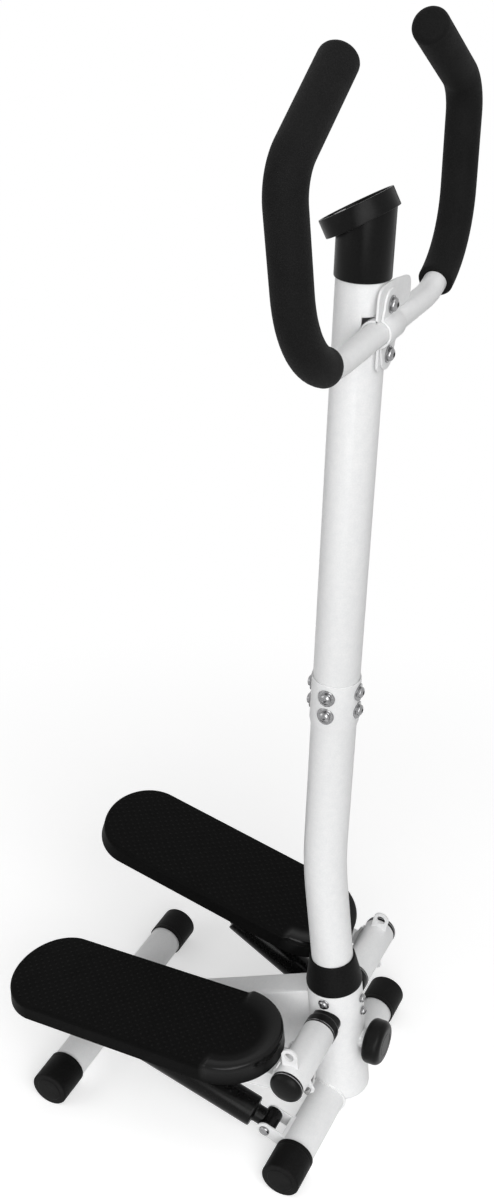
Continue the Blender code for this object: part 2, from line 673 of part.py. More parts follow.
def post_axis(height):
    """The centre line of the lower post, which bends softly where it turns upright."""
    low = BEND_HEIGHT - BEND_TANGENT
    high = BEND_HEIGHT + BEND_TANGENT
    if height <= low:
        return Vector((0, lean_y(height), height))
    if height >= high:
        return Vector((0, upper_y(height), height))
    t = (height - low) / (high - low)
    start = Vector((0, lean_y(low), low))
    middle = Vector((0, lean_y(BEND_HEIGHT), BEND_HEIGHT))
    end = Vector((0, upper_y(high), high))
    return start * (1 - t) ** 2 + middle * 2 * t * (1 - t) + end * t ** 2


def make_lower_post():
    start = lean_axis(POST_START).z
    cup_low = CUP_TOP_HEIGHT - CUP_DEPTH
    bend = [BEND_HEIGHT - BEND_TANGENT + 2 * BEND_TANGENT * k / 3 for k in range(4)]
    heights = [start] + bend + [cup_low - CUP_TAPER, cup_low, CUP_TOP_HEIGHT]
    cup_outer = UPPER_POST_RADIUS + SEAT_GAP + CUP_WALL
    outer = [LOWER_POST_RADIUS] * (len(heights) - 2) + [cup_outer] * 2
    path = frames([post_axis(height) for height in heights])
    stations = [(point, tangent, radius) for (point, tangent), radius in zip(path, outer)]
    bore = LOWER_POST_RADIUS - POST_WALL
    inner = [bore] * (len(heights) - 2) + [UPPER_POST_RADIUS + SEAT_GAP] * 2
    back = [(point, tangent, radius) for (point, tangent), radius in zip(path, inner)]
    post = solid("lower_post", swept(stations + back[::-1], FINE), parent=machine)
    combine(post, along_x(screw_bore(length=HUB_RADIUS * 3), y=lean_y(HUB_SCREW_HEIGHT), z=HUB_SCREW_HEIGHT),
            parent=machine)
    front = along_y(screw_bore(length=0.05), y=front_surface(HUB_FRONT_SCREW_HEIGHT, HUB_RADIUS),
                    z=HUB_FRONT_SCREW_HEIGHT)
    combine(post, front, parent=machine)
    drill_coupling(post)
    return post


def coupling_places():
    """The angle, height and centre of each of the coupling's screws."""
    made = []
    for row, depth in enumerate((CUP_SCREW_DEPTH, CUP_SCREW_DEPTH + CUP_SCREW_STEP)):
        height = CUP_TOP_HEIGHT - depth
        for quarter in range(4):
            made.append((row * 4 + quarter + 1, quarter * math.pi / 2, Vector((0, upper_y(height), height))))
    return made


def drill_coupling(post):
    for _, angle, centre in coupling_places():
        bore = turn(rod(SCREW_RADIUS + SEAT_GAP, 0.015, 0.045, SMALL), Matrix.Rotation(math.pi / 2, 4, "Y"))
        turn(bore, Matrix.Translation(centre) @ Matrix.Rotation(angle, 4, "Z"))
        combine(post, bore, parent=machine)


def saddle_washer(bm, radius):
    """Bend the washer's rim round an upright tube of the given radius."""
    for corner in bm.verts:
        if corner.co.z >= 0 and abs(corner.co.xy.length - WASHER_RADIUS) < 1e-5:
            corner.co.z -= radius - math.sqrt(radius ** 2 - corner.co.y ** 2)
    return bm


def make_coupling_screws():
    """Eight screws, each with a washer that is curved to the cup's outside."""
    seat = UPPER_POST_RADIUS + SEAT_GAP + CUP_WALL + 1.7 * SEAT_GAP
    depth = seat - UPPER_POST_RADIUS + POST_WALL + 0.002
    for number, angle, centre in coupling_places():
        head = screw_mesh(depth, SCREW_HEAD_RADIUS, SCREW_HEAD_HEIGHT, WASHER_RADIUS, WASHER_THICKNESS)
        saddle_washer(head, seat)
        place = Matrix.Translation(centre) @ Matrix.Rotation(angle, 4, "Z")
        place = place @ Matrix.Translation((seat, 0, 0)) @ Matrix.Rotation(math.pi / 2, 4, "Y")
        solid(f"coupling_screw_{number}", turn(head, place), "chrome_steel", parent=machine)


def make_hub_screws():
    """Two side screws and a front one hold the post, and a second front one holds the axle."""
    for name, side in (("right", -1.0), ("left", 1.0)):
        mesh = screw_mesh(HUB_RADIUS - LOWER_POST_RADIUS + POST_WALL + 0.002, SCREW_HEAD_RADIUS * 0.9,
                          SCREW_HEAD_HEIGHT, HUB_WASHER_RADIUS, WASHER_THICKNESS)
        turn(mesh, Matrix.Rotation(side * math.pi / 2, 4, "Y"))
        solid(f"hub_side_screw_{name}", mesh, "chrome_steel", parent=machine,
              location=(side * (HUB_RADIUS + SEAT_GAP), lean_y(HUB_SCREW_HEIGHT), HUB_SCREW_HEIGHT))
    depths = {"hub_front_screw": (HUB_FRONT_SCREW_HEIGHT, HUB_RADIUS - LOWER_POST_RADIUS + POST_WALL + 0.002),
              "axle_lock_screw": (AXLE_SCREW_HEIGHT, HUB_RADIUS - AXLE_RADIUS - 0.0012)}
    for name, (height, depth) in depths.items():
        mesh = screw_mesh(depth, SCREW_HEAD_RADIUS * 0.8, SCREW_HEAD_HEIGHT, SMALL_WASHER_RADIUS,
                          WASHER_THICKNESS)
        turn(mesh, Matrix.Rotation(math.pi / 2, 4, "X"))
        tilt = SMALL_WASHER_RADIUS * math.tan(HUB_LEAN)
        solid(name, mesh, "chrome_steel", parent=machine,
              location=(0, front_surface(height, HUB_RADIUS) - SEAT_GAP - tilt, height))


def clamp_place():
    """The frame of the clamp: its origin on the handlebar's axis, its Z along the post."""
    return Matrix.Translation((0, bar_y(), BAR_HEIGHT)) @ Matrix.Rotation(-UPPER_LEAN, 4, "X")


def flange_face():
    """How far the post's front lies behind the bar's axis, in the clamp's frame."""
    back = BAR_SETBACK * math.cos(UPPER_LEAN)
    return back - UPPER_POST_RADIUS


def shell_section(inner, outer, limit, front):
    """Half ring round the bar on one side of a plane, as (y, z) points."""
    start_outer = math.acos(limit / outer)
    start_inner = math.acos(limit / inner)
    if front:
        first = arc((0, 0), outer, start_outer, 2 * math.pi - start_outer, 14)
        second = arc((0, 0), inner, 2 * math.pi - start_inner, start_inner, 14)
    else:
        first = arc((0, 0), outer, -start_outer, start_outer, 14)
        second = arc((0, 0), inner, start_inner, -start_inner, 14)
    return first + second


def make_upper_post():
    """The upper tube with the notch for the handlebar and its welded saddle."""
    low = CUP_TOP_HEIGHT - CUP_DEPTH + 0.003
    length = (UPPER_POST_TOP - low) / math.cos(UPPER_LEAN)
    mesh = pipe(UPPER_POST_RADIUS, UPPER_POST_RADIUS - POST_WALL, 0.0, length, FINE)
    post = solid("upper_post", mesh, parent=machine, location=(0, upper_y(low), low),
                 rotation=(-UPPER_LEAN, 0, 0))
    drill_coupling(post)
    place = clamp_place()
    seat = BAR_RADIUS + SEAT_GAP
    shell = seat + CLAMP_SHEET
    notch = block((-0.04, -0.05, -shell), (0.04, shell, shell))
    combine(post, turn(notch, place), parent=machine)
    face = flange_face()
    front = face - CLAMP_SHEET
    section = shell_section(seat, shell + 0.0002, front, front=False)
    join(post, turn(plate(section, -SADDLE_RIGHT, SADDLE_LEFT - SADDLE_CORNER), place), parent=machine)
    upper = rounded([(-SADDLE_RIGHT, seat + 0.0005), (SADDLE_LEFT, seat + 0.0005), (SADDLE_LEFT, SADDLE_END_RISE),
                     (SADDLE_SHOULDER, SADDLE_RISE), (-SADDLE_RIGHT, SADDLE_RISE)], SADDLE_CORNER, 5)
    lower = rounded([(-CLAMP_HALF_WIDTH, -SADDLE_DROP), (CLAMP_HALF_WIDTH, -SADDLE_DROP),
                     (CLAMP_HALF_WIDTH, -seat - 0.0005), (-CLAMP_HALF_WIDTH, -seat - 0.0005)], 0.010, 5)
    for outline in (upper, lower):
        join(post, turn(plate(outline, front, face + 0.0004, axis="Y"), place), parent=machine)
    combine(post, turn(along_x(rod(seat, -0.08, 0.08, FINE)), place), parent=machine)
    drill_clamp(post)
    return post


def drill_clamp(target):
    for rise in (CLAMP_BOLT_RISE, -CLAMP_BOLT_RISE):
        bore = along_y(rod(CLAMP_BOLT_RADIUS + SEAT_GAP, -0.03, 0.02, SMALL), z=rise)
        combine(target, turn(bore, clamp_place()), parent=machine)


def make_clamp_strap():
    """The front strap, which wraps the bar between two rounded ears."""
    place = clamp_place()
    seat = BAR_RADIUS + SEAT_GAP
    back = flange_face() - CLAMP_SHEET - SEAT_GAP
    section = shell_section(seat, seat + CLAMP_SHEET, back, front=True)
    strap = solid("clamp_strap", turn(plate(section, -CLAMP_HALF_WIDTH, CLAMP_HALF_WIDTH), place),
                  parent=machine)
    ends = ((1, math.pi, 0.0), (-1, 0.0, -math.pi))
    for direction, start, end in ends:
        round_end = arc((0, direction * CLAMP_BOLT_RISE), CLAMP_EAR_RADIUS, start, end, 12)
        foot = direction * (seat + 0.0010)
        base = [(direction * CLAMP_HALF_WIDTH, foot), (-direction * CLAMP_HALF_WIDTH, foot)]
        ear = plate(round_end + base, back - CLAMP_SHEET, back, axis="Y")
        join(strap, turn(ear, place), parent=machine)
    drill_clamp(strap)
    return strap


def make_clamp_bolts():
    back = flange_face() - 2 * CLAMP_SHEET - 2 * SEAT_GAP
    for name, rise in (("clamp_bolt_upper", CLAMP_BOLT_RISE), ("clamp_bolt_lower", -CLAMP_BOLT_RISE)):
        profile = [(0.0, -0.0180), (CLAMP_BOLT_RADIUS, -0.0180), (CLAMP_BOLT_RADIUS, 0.0),
                   (CLAMP_WASHER_RADIUS, 0.0), (CLAMP_WASHER_RADIUS, 0.0014), (0.0074, 0.0014), (0.0074, 0.0036),
                   (0.0062, 0.0060), (0.0040, 0.0072), (0.0, 0.0072)]
        mesh = turn(turned(profile, SMALL), Matrix.Translation((0, back, rise)) @
                    Matrix.Rotation(math.pi / 2, 4, "X"))
        solid(name, turn(mesh, clamp_place()), "chrome_steel", parent=machine)


# Handlebar

def bar_path():
    """Points of the handlebar's left half in its own plane, from the middle to the tip."""
    corner = BAR_LOWER_HALF - BAR_CORNER_RADIUS
    points = [(0.0, 0.0), (corner * 0.5, 0.0)]
    quarter = math.pi / 2
    points += arc((corner, BAR_CORNER_RADIUS), BAR_CORNER_RADIUS, -quarter, GRIP_START_ANGLE - quarter, 1)
    points += arc((corner, BAR_CORNER_RADIUS), BAR_CORNER_RADIUS, GRIP_START_ANGLE - quarter, 0.0, 4)[1:]
    start = Vector((BAR_LOWER_HALF, BAR_CORNER_RADIUS))
    knee = Vector((BAR_KNEE_HALF, BAR_KNEE_RISE))
    tip = Vector((BAR_KNEE_HALF - BAR_TIP_IN, BAR_KNEE_RISE + BAR_TIP_RISE))
    first = knee + (start - knee).normalized() * BAR_KNEE_CUT
    last = knee + (tip - knee).normalized() * BAR_KNEE_CUT
    points.append(tuple((start + first) / 2))
    for step in range(5):
        t = step / 4
        points.append(tuple(first * (1 - t) ** 2 + knee * 2 * t * (1 - t) + last * t ** 2))
    points.append(tuple((last + tip) / 2))
    points.append(tuple(tip))
    return points


def bar_world(points, side):
    lean = Vector((0, math.sin(BAR_LEAN), math.cos(BAR_LEAN)))
    return [Vector((side * a, bar_y(), BAR_HEIGHT)) + lean * b for a, b in points]


def plane_normal():
    return Vector((0, math.cos(BAR_LEAN), -math.sin(BAR_LEAN)))


def make_handlebar():
    half = bar_path()
    tip = Vector(half[-1])
    before = Vector(half[-2])
    half[-1] = tuple(tip - (tip - before).normalized() * (GRIP_END_WALL + SEAT_GAP))
    path = bar_world(half[::-1], -1.0)[:-1] + bar_world(half, 1.0)
    outer = [(point, tangent, BAR_RADIUS) for point, tangent in frames(path)]
    inner = [(point, tangent, BAR_RADIUS - BAR_WALL) for point, tangent in frames(path)]
    bm = swept(outer + inner[::-1], MEDIUM, side=plane_normal())
    return solid("handlebar_tube", bm, parent=machine)


def make_grip(name, side):
    """A foam sleeve from the lower corner to the tip, closed and rounded over the tube's end."""
    corner = BAR_LOWER_HALF - BAR_CORNER_RADIUS
    begin = (corner + BAR_CORNER_RADIUS * math.sin(GRIP_START_ANGLE),
             BAR_CORNER_RADIUS * (1 - math.cos(GRIP_START_ANGLE)))
    half = [begin] + [p for p in bar_path() if p[0] > begin[0] and p[1] > begin[1] or p[1] > BAR_KNEE_RISE]
    first = math.pi / 2 - GRIP_START_ANGLE
    start_tangent = Vector((side * math.sin(first), 0, 0))
    start_tangent += Vector((0, math.sin(BAR_LEAN), math.cos(BAR_LEAN))) * math.cos(first)
    path = frames(bar_world(half, side))
    path[0] = (path[0][0], start_tangent.normalized())
    end, heading = path[-1]
    ease = 0.0030
    outer = [(path[0][0], path[0][1], GRIP_RADIUS - ease), (path[0][0] + path[0][1] * ease, path[0][1],
             GRIP_RADIUS)]
    outer += [(point, tangent, GRIP_RADIUS) for point, tangent in path[1:-1]]
    round_end = 0.0090
    for step in range(5):
        angle = math.radians(step * 20)
        outer.append((end - heading * round_end * (1 - math.sin(angle)), heading,
                      GRIP_RADIUS - round_end * (1 - math.cos(angle))))
    bore = BAR_RADIUS + SEAT_GAP
    inner = [(point, tangent, bore) for point, tangent in path[:-1]]
    inner.append((end - heading * GRIP_END_WALL, heading, bore))
    bm = bmesh.new()
    normal = plane_normal()
    loops = [ring(bm, p, t, r, MEDIUM, normal) for p, t, r in inner[::-1] + outer]
    for a, b in zip(loops, loops[1:]):
        stitch(bm, a, b)
    bm.faces.new(loops[0][::-1])
    bm.faces.new(loops[-1])
    return solid(name, bm, "black_foam", parent=machine)


# Monitor

def monitor_place():
    """The frame of the monitor's face: Z out of the face, Y down its slope to the user."""
    y = upper_y(MONITOR_HEIGHT) + MONITOR_REARWARD
    return Matrix.Translation((0, y, MONITOR_HEIGHT)) @ Matrix.Rotation(-MONITOR_TILT, 4, "X")


def make_housing():
    """A sleeve over the post's top that carries a tilted round cup."""
    place = monitor_place()
    head = rod(MONITOR_RADIUS, -MONITOR_THICKNESS, 0.0, FINE, 0.0008)
    housing = solid("monitor_housing", turn(head, place), "black_plastic", parent=machine)
    inner = UPPER_POST_RADIUS + SEAT_GAP
    outer = inner + HOUSING_WALL
    neck_top = MONITOR_HEIGHT - MONITOR_THICKNESS * 0.5 - outer * math.sin(MONITOR_TILT) * 0.9
    lean = Matrix.Translation((0, upper_y(HOUSING_BOTTOM), HOUSING_BOTTOM)) @ Matrix.Rotation(-UPPER_LEAN, 4, "X")
    neck = rod(outer, 0.0, neck_top - HOUSING_BOTTOM + 0.03, FINE)
    neck_object = solid("neck", turn(neck, lean), "black_plastic", parent=machine)
    above = block((-0.1, -0.1, -MONITOR_THICKNESS + 0.004), (0.1, 0.1, 0.1))
    combine(neck_object, turn(above, place), parent=machine)
    whole = bmesh.new()
    whole.from_mesh(neck_object.data)
    bpy.data.objects.remove(neck_object, do_unlink=True)
    join(housing, whole, parent=machine)
    bore = rod(inner, -0.02, UPPER_POST_TOP - HOUSING_BOTTOM + 0.001, FINE)
    combine(housing, turn(bore, lean), parent=machine)
    cup = rod(MONITOR_RADIUS - MONITOR_WALL, -MONITOR_CUP_DEPTH, 0.01, FINE)
    return combine(housing, turn(cup, place), parent=machine)


def lens_outline(grow):
    w = LENS_WIDTH / 2 + grow
    h = LENS_HEIGHT / 2 + grow
    middle = LENS_OFFSET
    return rounded([(-w, middle - h), (w, middle - h), (w, middle + h), (-w, middle + h)], 0.003, 3)


def flat_plate(outline, low, high):
    """Extrude an outline of (x, y) points along Z."""
    swap = Matrix(((1, 0, 0, 0), (0, 0, 1, 0), (0, 1, 0, 0), (0, 0, 0, 1)))
    return turn(plate(outline, low, high, axis="Y"), swap)


def make_console():
    """A round insert with a pocket for the lens and a guide for the button."""
    place = monitor_place()
    low = -MONITOR_CUP_DEPTH + SEAT_GAP
    radius = MONITOR_RADIUS - MONITOR_WALL - SEAT_GAP
    console = solid("monitor_console", turn(rod(radius, low, -CONSOLE_RECESS, FINE, 0.0006), place),
                    "black_plastic", parent=machine)
    pocket = flat_plate(lens_outline(SEAT_GAP), -CONSOLE_RECESS - LENS_DEPTH - SEAT_GAP, 0.01)
    combine(console, turn(pocket, place), parent=machine)
    guide = rod(BUTTON_RADIUS + RUNNING_GAP, low + 0.0015, 0.01, MEDIUM)
    turn(guide, place @ Matrix.Translation((0, BUTTON_OFFSET, 0)))
    return combine(console, guide, parent=machine)


def make_lens_and_button():
    place = monitor_place()
    lens = flat_plate(lens_outline(0.0), -CONSOLE_RECESS - LENS_DEPTH, -CONSOLE_RECESS + 0.0002)
    solid("monitor_lens", turn(lens, place), "smoked_lens", parent=machine)
    stem = -MONITOR_CUP_DEPTH + 0.0015 + 2 * SEAT_GAP + 0.0018
    key = rod(BUTTON_RADIUS, stem, -CONSOLE_RECESS + BUTTON_PROUD, MEDIUM, 0.0006)
    turn(key, place @ Matrix.Translation((0, BUTTON_OFFSET, 0)))
    solid("monitor_button", key, "grey_button", parent=machine)


# Height adjustment

def knob_back():
    """The Y of the knob's rear face, a standoff in front of the hub."""
    return front_surface(KNOB_HEIGHT, HUB_RADIUS) - KNOB_STANDOFF


def make_knob():
    """A rounded hand knob moulded on the spindle that draws the pulley fork."""
    r = KNOB_RADIUS
    t = KNOB_THICKNESS
    s = SPINDLE_RADIUS
    profile = [(0.0, -SPINDLE_REACH), (s - 0.0010, -SPINDLE_REACH), (s, -SPINDLE_REACH + 0.0010), (s, 0.0),
               (r * 0.84, 0.0), (r * 0.96, t * 0.16), (r, t * 0.40), (r, t * 0.62),
               (r * 0.93, t * 0.87), (r * 0.76, t), (0.0, t)]
    return solid("height_knob", turned(profile, FINE), "black_plastic", parent=machine,
                 location=(0, knob_back(), KNOB_HEIGHT), rotation=(math.pi / 2, 0, 0))


def fork_rear():
    return PULLEY_Y + PULLEY_PIN_RADIUS + 0.005


def make_fork():
    """A nut block on the spindle with a plate and pin that carry the pulley."""
    plate_top = CABLE_HEIGHT - PULLEY_THICKNESS / 2 - SEAT_GAP
    front = PULLEY_Y - PULLEY_RADIUS - 0.012
    fork = solid("pulley_fork", block((-FORK_HALF_WIDTH, front, plate_top - FORK_PLATE),
                 (FORK_HALF_WIDTH, fork_rear(), plate_top), 0.0005), "chrome_steel", parent=machine)
    nut = block((-FORK_HALF_WIDTH, front, KNOB_HEIGHT - 0.009), (FORK_HALF_WIDTH, front + 0.010,
                plate_top - 0.0005), 0.0005)
    join(fork, nut, parent=machine)
    high = plate_top + PULLEY_THICKNESS + 2 * SEAT_GAP
    pin = turned([(0.0, plate_top - 0.002), (PULLEY_PIN_RADIUS, plate_top - 0.002), (PULLEY_PIN_RADIUS, high),
                  (PULLEY_PIN_RADIUS + 0.0015, high), (PULLEY_PIN_RADIUS + 0.0015, high + 0.0015),
                  (0.0, high + 0.0015)], SMALL)
    join(fork, turn(pin, Matrix.Translation((0, PULLEY_Y, 0))), parent=machine)
    thread = along_y(rod(SPINDLE_RADIUS + RUNNING_GAP, -0.05, 0.05, MEDIUM), z=KNOB_HEIGHT)
    return combine(fork, thread, parent=machine)


def make_pulley():
    h = PULLEY_THICKNESS / 2
    bore = PULLEY_PIN_RADIUS + RUNNING_GAP
    groove = CABLE_RADIUS + SEAT_GAP
    profile = [(bore, -h), (PULLEY_RADIUS, -h), (PULLEY_RADIUS, -groove), (PULLEY_GROOVE_RADIUS, -groove),
               (PULLEY_GROOVE_RADIUS, groove), (PULLEY_RADIUS, groove), (PULLEY_RADIUS, h), (bore, h)]
    return solid("cable_pulley", turned(profile, MEDIUM, closed=True), "black_plastic", parent=machine,
                 location=(0, PULLEY_Y, CABLE_HEIGHT))


def anchor_point(side, pitch):
    """Where the cable is held on an arm, at rest."""
    angle = ANCHOR_ANGLE + pitch
    return Vector((side * ANCHOR_X, AXLE_Y + ANCHOR_RADIUS * math.cos(angle),
                   AXLE_HEIGHT + ANCHOR_RADIUS * math.sin(angle)))


def tangent_point(side, pitch):
    """Where the straight cable meets its arc behind the pulley."""
    anchor = anchor_point(side, pitch)
    lay = PULLEY_GROOVE_RADIUS + CABLE_RADIUS + SEAT_GAP
    flat = Vector((anchor.x, anchor.y - PULLEY_Y))
    spread = math.acos(lay / flat.length)
    angle = math.atan2(flat.y, flat.x) - side * -spread
    return Vector((lay * math.cos(angle), PULLEY_Y + lay * math.sin(angle), CABLE_HEIGHT)), angle


def cable_point(distance, side=-1.0, pitch=RIGHT_PITCH):
    """The cable's Y and Z on its straight run, a distance from the middle plane."""
    anchor = anchor_point(side, pitch)
    touch, _ = tangent_point(side, pitch)
    t = (side * distance - anchor.x) / (touch.x - anchor.x)
    point = anchor.lerp(touch, t)
    return point.y, point.z


def make_cable():
    """The stretch of cable that runs round the pulley between the hub's side holes."""
    lay = PULLEY_GROOVE_RADIUS + CABLE_RADIUS + SEAT_GAP
    points = []
    angles = []
    for _, side, pitch in SIDES:
        y, z = cable_point(CABLE_JOIN_X, side, pitch)
        points.append(Vector((side * CABLE_JOIN_X, y, z)))
        angles.append(tangent_point(side, pitch)[1] % (2 * math.pi))
    count = 8
    path = [points[0]]
    for step in range(count + 1):
        a = angles[0] + (angles[1] - angles[0]) * step / count
        path.append(Vector((lay * math.cos(a), PULLEY_Y + lay * math.sin(a), CABLE_HEIGHT)))
    path.append(points[1])
    stations = [(point, tangent, CABLE_RADIUS) for point, tangent in frames(path)]
    bm = swept(stations, 8, side=Vector((0, 0, 1)), ring_shape=False)
    return solid("cable", bm, "steel_cable", parent=machine)


# Axle hardware

def make_axle():
    mesh = along_x(rod(AXLE_RADIUS, -AXLE_LENGTH / 2, AXLE_LENGTH / 2, MEDIUM, 0.0008))
    return solid("axle", mesh, "chrome_steel", parent=machine, location=(0, AXLE_Y, AXLE_HEIGHT))


def make_bushings(name, side):
    """Plastic bushings: the inner one has a wide collar that is shaped to the hub."""
    bore = AXLE_RADIUS + SEAT_GAP
    outer = SLEEVE_RADIUS - SLEEVE_WALL - RUNNING_GAP
    step = SLEEVE_INNER_X - SEAT_GAP
    start = HUB_RADIUS * 0.84
    profile = [(bore, start), (BUSH_COLLAR_RADIUS, start), (BUSH_COLLAR_RADIUS, step - BUSH_FLANGE),
               (SLEEVE_RADIUS, step), (outer, step), (outer, step + BUSH_LENGTH), (bore, step + BUSH_LENGTH)]
    mesh = turned(profile, FINE, closed=True)
    turn(mesh, Matrix.Translation((0, AXLE_Y, AXLE_HEIGHT)) @ Matrix.Rotation(side * math.pi / 2, 4, "Y"))
    inner = solid(f"{name}_inner_bushing", mesh, "black_plastic", parent=machine)
    grown = rod(HUB_RADIUS + SEAT_GAP, -0.06, HUB_ABOVE_AXLE, FINE)
    turn(grown, Matrix.Translation(lean_axis(0)) @ Matrix.Rotation(-HUB_LEAN, 4, "X"))
    combine(inner, grown, parent=machine)
    step = SLEEVE_OUTER_X + SEAT_GAP
    profile = [(bore, step - BUSH_LENGTH), (outer, step - BUSH_LENGTH), (outer, step), (SLEEVE_RADIUS, step),
               (SLEEVE_RADIUS, step + BUSH_FLANGE), (bore, step + BUSH_FLANGE)]
    mesh = turned(profile, FINE, closed=True)
    turn(mesh, Matrix.Translation((0, AXLE_Y, AXLE_HEIGHT)) @ Matrix.Rotation(side * math.pi / 2, 4, "Y"))
    solid(f"{name}_outer_bushing", mesh, "black_plastic", parent=machine)


def make_axle_cap(name, side):
    """A domed cap over the axle's end."""
    low = SLEEVE_OUTER_X + 2 * SEAT_GAP + BUSH_FLANGE
    r = AXLE_CAP_RADIUS
    t = AXLE_CAP_LENGTH
    bore = AXLE_RADIUS + SEAT_GAP
    depth = AXLE_LENGTH / 2 + SEAT_GAP
    profile = [(0.0, depth), (bore, depth), (bore, low), (r, low), (r, low + t * 0.14),
               (r * 0.95, low + t * 0.40), (r * 0.88, low + t * 0.62), (r * 0.70, low + t * 0.83),
               (r * 0.40, low + t * 0.96), (0.0, low + t)]
    mesh = turned(profile, FINE)
    turn(mesh, Matrix.Rotation(side * math.pi / 2, 4, "Y"))
    solid(f"{name}_axle_cap", mesh, "black_plastic", parent=machine, location=(0, AXLE_Y, AXLE_HEIGHT))


# Arms, in their own frame: X along the axle, Y along the pedal, Z out of its tread

def arm_outline():
    """Side view of the channel: from the sleeve to a round lobe about the cylinder's pin."""
    lobe = LINK_EYE_RADIUS + 0.0030
    bottom = arc((LINK_REACH, -LINK_DROP), lobe, math.radians(-100), math.radians(0), 7)
    return [(0.0020, 0.0120), (0.0020, -ARM_ROOT_DEPTH)] + bottom + \
        [(ARM_END, -ARM_TAIL_DEPTH), (ARM_END, ARM_TOP), (PEDAL_TOE - 0.0035, ARM_TOP), (PEDAL_TOE - 0.0060, 0.0060)]


def make_arm(name, side, pivot):
    """A sleeve with a channel welded behind it, open below, and the cable's ear."""
    half = ARM_WIDTH / 2
    centre = side * ARM_CENTRE_X
    sleeve = rod(SLEEVE_RADIUS, SLEEVE_INNER_X, SLEEVE_OUTER_X, FINE)
    arm = solid(f"{name}_arm", turn(sleeve, Matrix.Rotation(side * math.pi / 2, 4, "Y")), parent=pivot)
    channel = solid("channel", plate(arm_outline(), centre - half, centre + half), parent=pivot)
    wide = half - ARM_SHEET
    far = ARM_END + 0.05
    deep = -LINK_DROP - 0.05
    room = [(-0.01, deep), (-0.01, ARM_TOP - ARM_SHEET), (far, ARM_TOP - ARM_SHEET), (far, deep)]
    combine(channel, plate(room, centre - wide, centre + wide), parent=pivot)
    front = [(-0.01, ARM_TOP - 0.01), (-0.01, 0.05), (PEDAL_TOE - 0.002, 0.05), (PEDAL_TOE - 0.002, ARM_TOP - 0.01)]
    combine(channel, plate(front, centre - wide, centre + wide), parent=pivot)
    whole = bmesh.new()
    whole.from_mesh(channel.data)
    bpy.data.objects.remove(channel, do_unlink=True)
    join(arm, whole, parent=pivot)
    angle = Matrix.Rotation(ANCHOR_ANGLE, 4, "X")
    ear = [(0.012, -ANCHOR_EAR * 1.4)] + arc((ANCHOR_RADIUS, 0), ANCHOR_EAR, -math.pi / 2, math.pi / 2, 6)
    ear.append((0.012, ANCHOR_EAR * 1.4))
    edges = sorted((side * (ANCHOR_X - ANCHOR_SHEET / 2), side * (ANCHOR_X + ANCHOR_SHEET / 2)))
    join(arm, turn(plate(ear, *edges), angle), parent=pivot)
    edges = sorted((side * (TAB_X - TAB_SHEET / 2), side * (TAB_X + TAB_SHEET / 2)))
    angle = Matrix.Rotation(TAB_ANGLE, 4, "X")
    lug = [(0.012, -TAB_HALF_WIDTH)] + arc((TAB_RADIUS, 0), TAB_HALF_WIDTH, -math.pi / 2, math.pi / 2, 10)
    lug.append((0.012, TAB_HALF_WIDTH))
    join(arm, turn(plate(lug, *edges), angle), parent=pivot)
    hole = along_x(rod(TAB_HOLE_RADIUS, -TAB_SHEET, TAB_SHEET, MEDIUM), x=side * TAB_X,
                   y=TAB_RADIUS * math.cos(TAB_ANGLE), z=TAB_RADIUS * math.sin(TAB_ANGLE))
    combine(arm, hole, parent=pivot)
    bore = rod(SLEEVE_RADIUS - SLEEVE_WALL, SLEEVE_INNER_X - 0.02, SLEEVE_OUTER_X + 0.02, FINE)
    combine(arm, turn(bore, Matrix.Rotation(side * math.pi / 2, 4, "Y")), parent=pivot)
    hole = along_x(rod(PIN_RADIUS + SEAT_GAP, -0.04, 0.04, SMALL), x=centre, y=LINK_REACH, z=-LINK_DROP)
    combine(arm, hole, parent=pivot)
    anchor = Vector((side * ANCHOR_X, ANCHOR_RADIUS * math.cos(ANCHOR_ANGLE),
                     ANCHOR_RADIUS * math.sin(ANCHOR_ANGLE)))
    combine(arm, along_x(rod(CABLE_RADIUS + 2 * SEAT_GAP, -0.008, 0.008, SMALL), *anchor), parent=pivot)
    return arm


def make_cable_end(name, side, pitch):
    """The cable's outer stretch, from the hub's side to the fitting behind the arm's ear."""
    anchor = anchor_point(side, pitch)
    start = CABLE_JOIN_X + CABLE_JOIN_GAP
    y, z = cable_point(start, side, pitch)
    join_point = Vector((side * start, y, z))
    inner = ANCHOR_X - ANCHOR_SHEET / 2 - 0.006
    bend_y, bend_z = cable_point(inner, side, pitch)
    bend = Vector((side * inner, anchor.y + (bend_y - anchor.y) * 0.4, anchor.z + (bend_z - anchor.z) * 0.4))
    far_x = side * (ANCHOR_X + ANCHOR_SHEET / 2 + SEAT_GAP)
    tip_x = far_x + side * CABLE_FITTING_LENGTH
    straight = Vector((side, 0, 0))
    first = (bend - join_point).normalized()
    stations = [(join_point, first, CABLE_RADIUS), (bend, (first + straight).normalized(), CABLE_RADIUS),
                (Vector((far_x, anchor.y, anchor.z)), straight, CABLE_RADIUS),
                (Vector((far_x, anchor.y, anchor.z)), straight, CABLE_FITTING_RADIUS),
                (Vector((tip_x - side * 0.001, anchor.y, anchor.z)), straight, CABLE_FITTING_RADIUS),
                (Vector((tip_x, anchor.y, anchor.z)), straight, CABLE_FITTING_RADIUS - 0.001)]
    bm = swept(stations, 12, side=Vector((0, 0, 1)), ring_shape=False)
    return solid(f"{name}_cable_end", bm, "steel_cable", parent=machine)


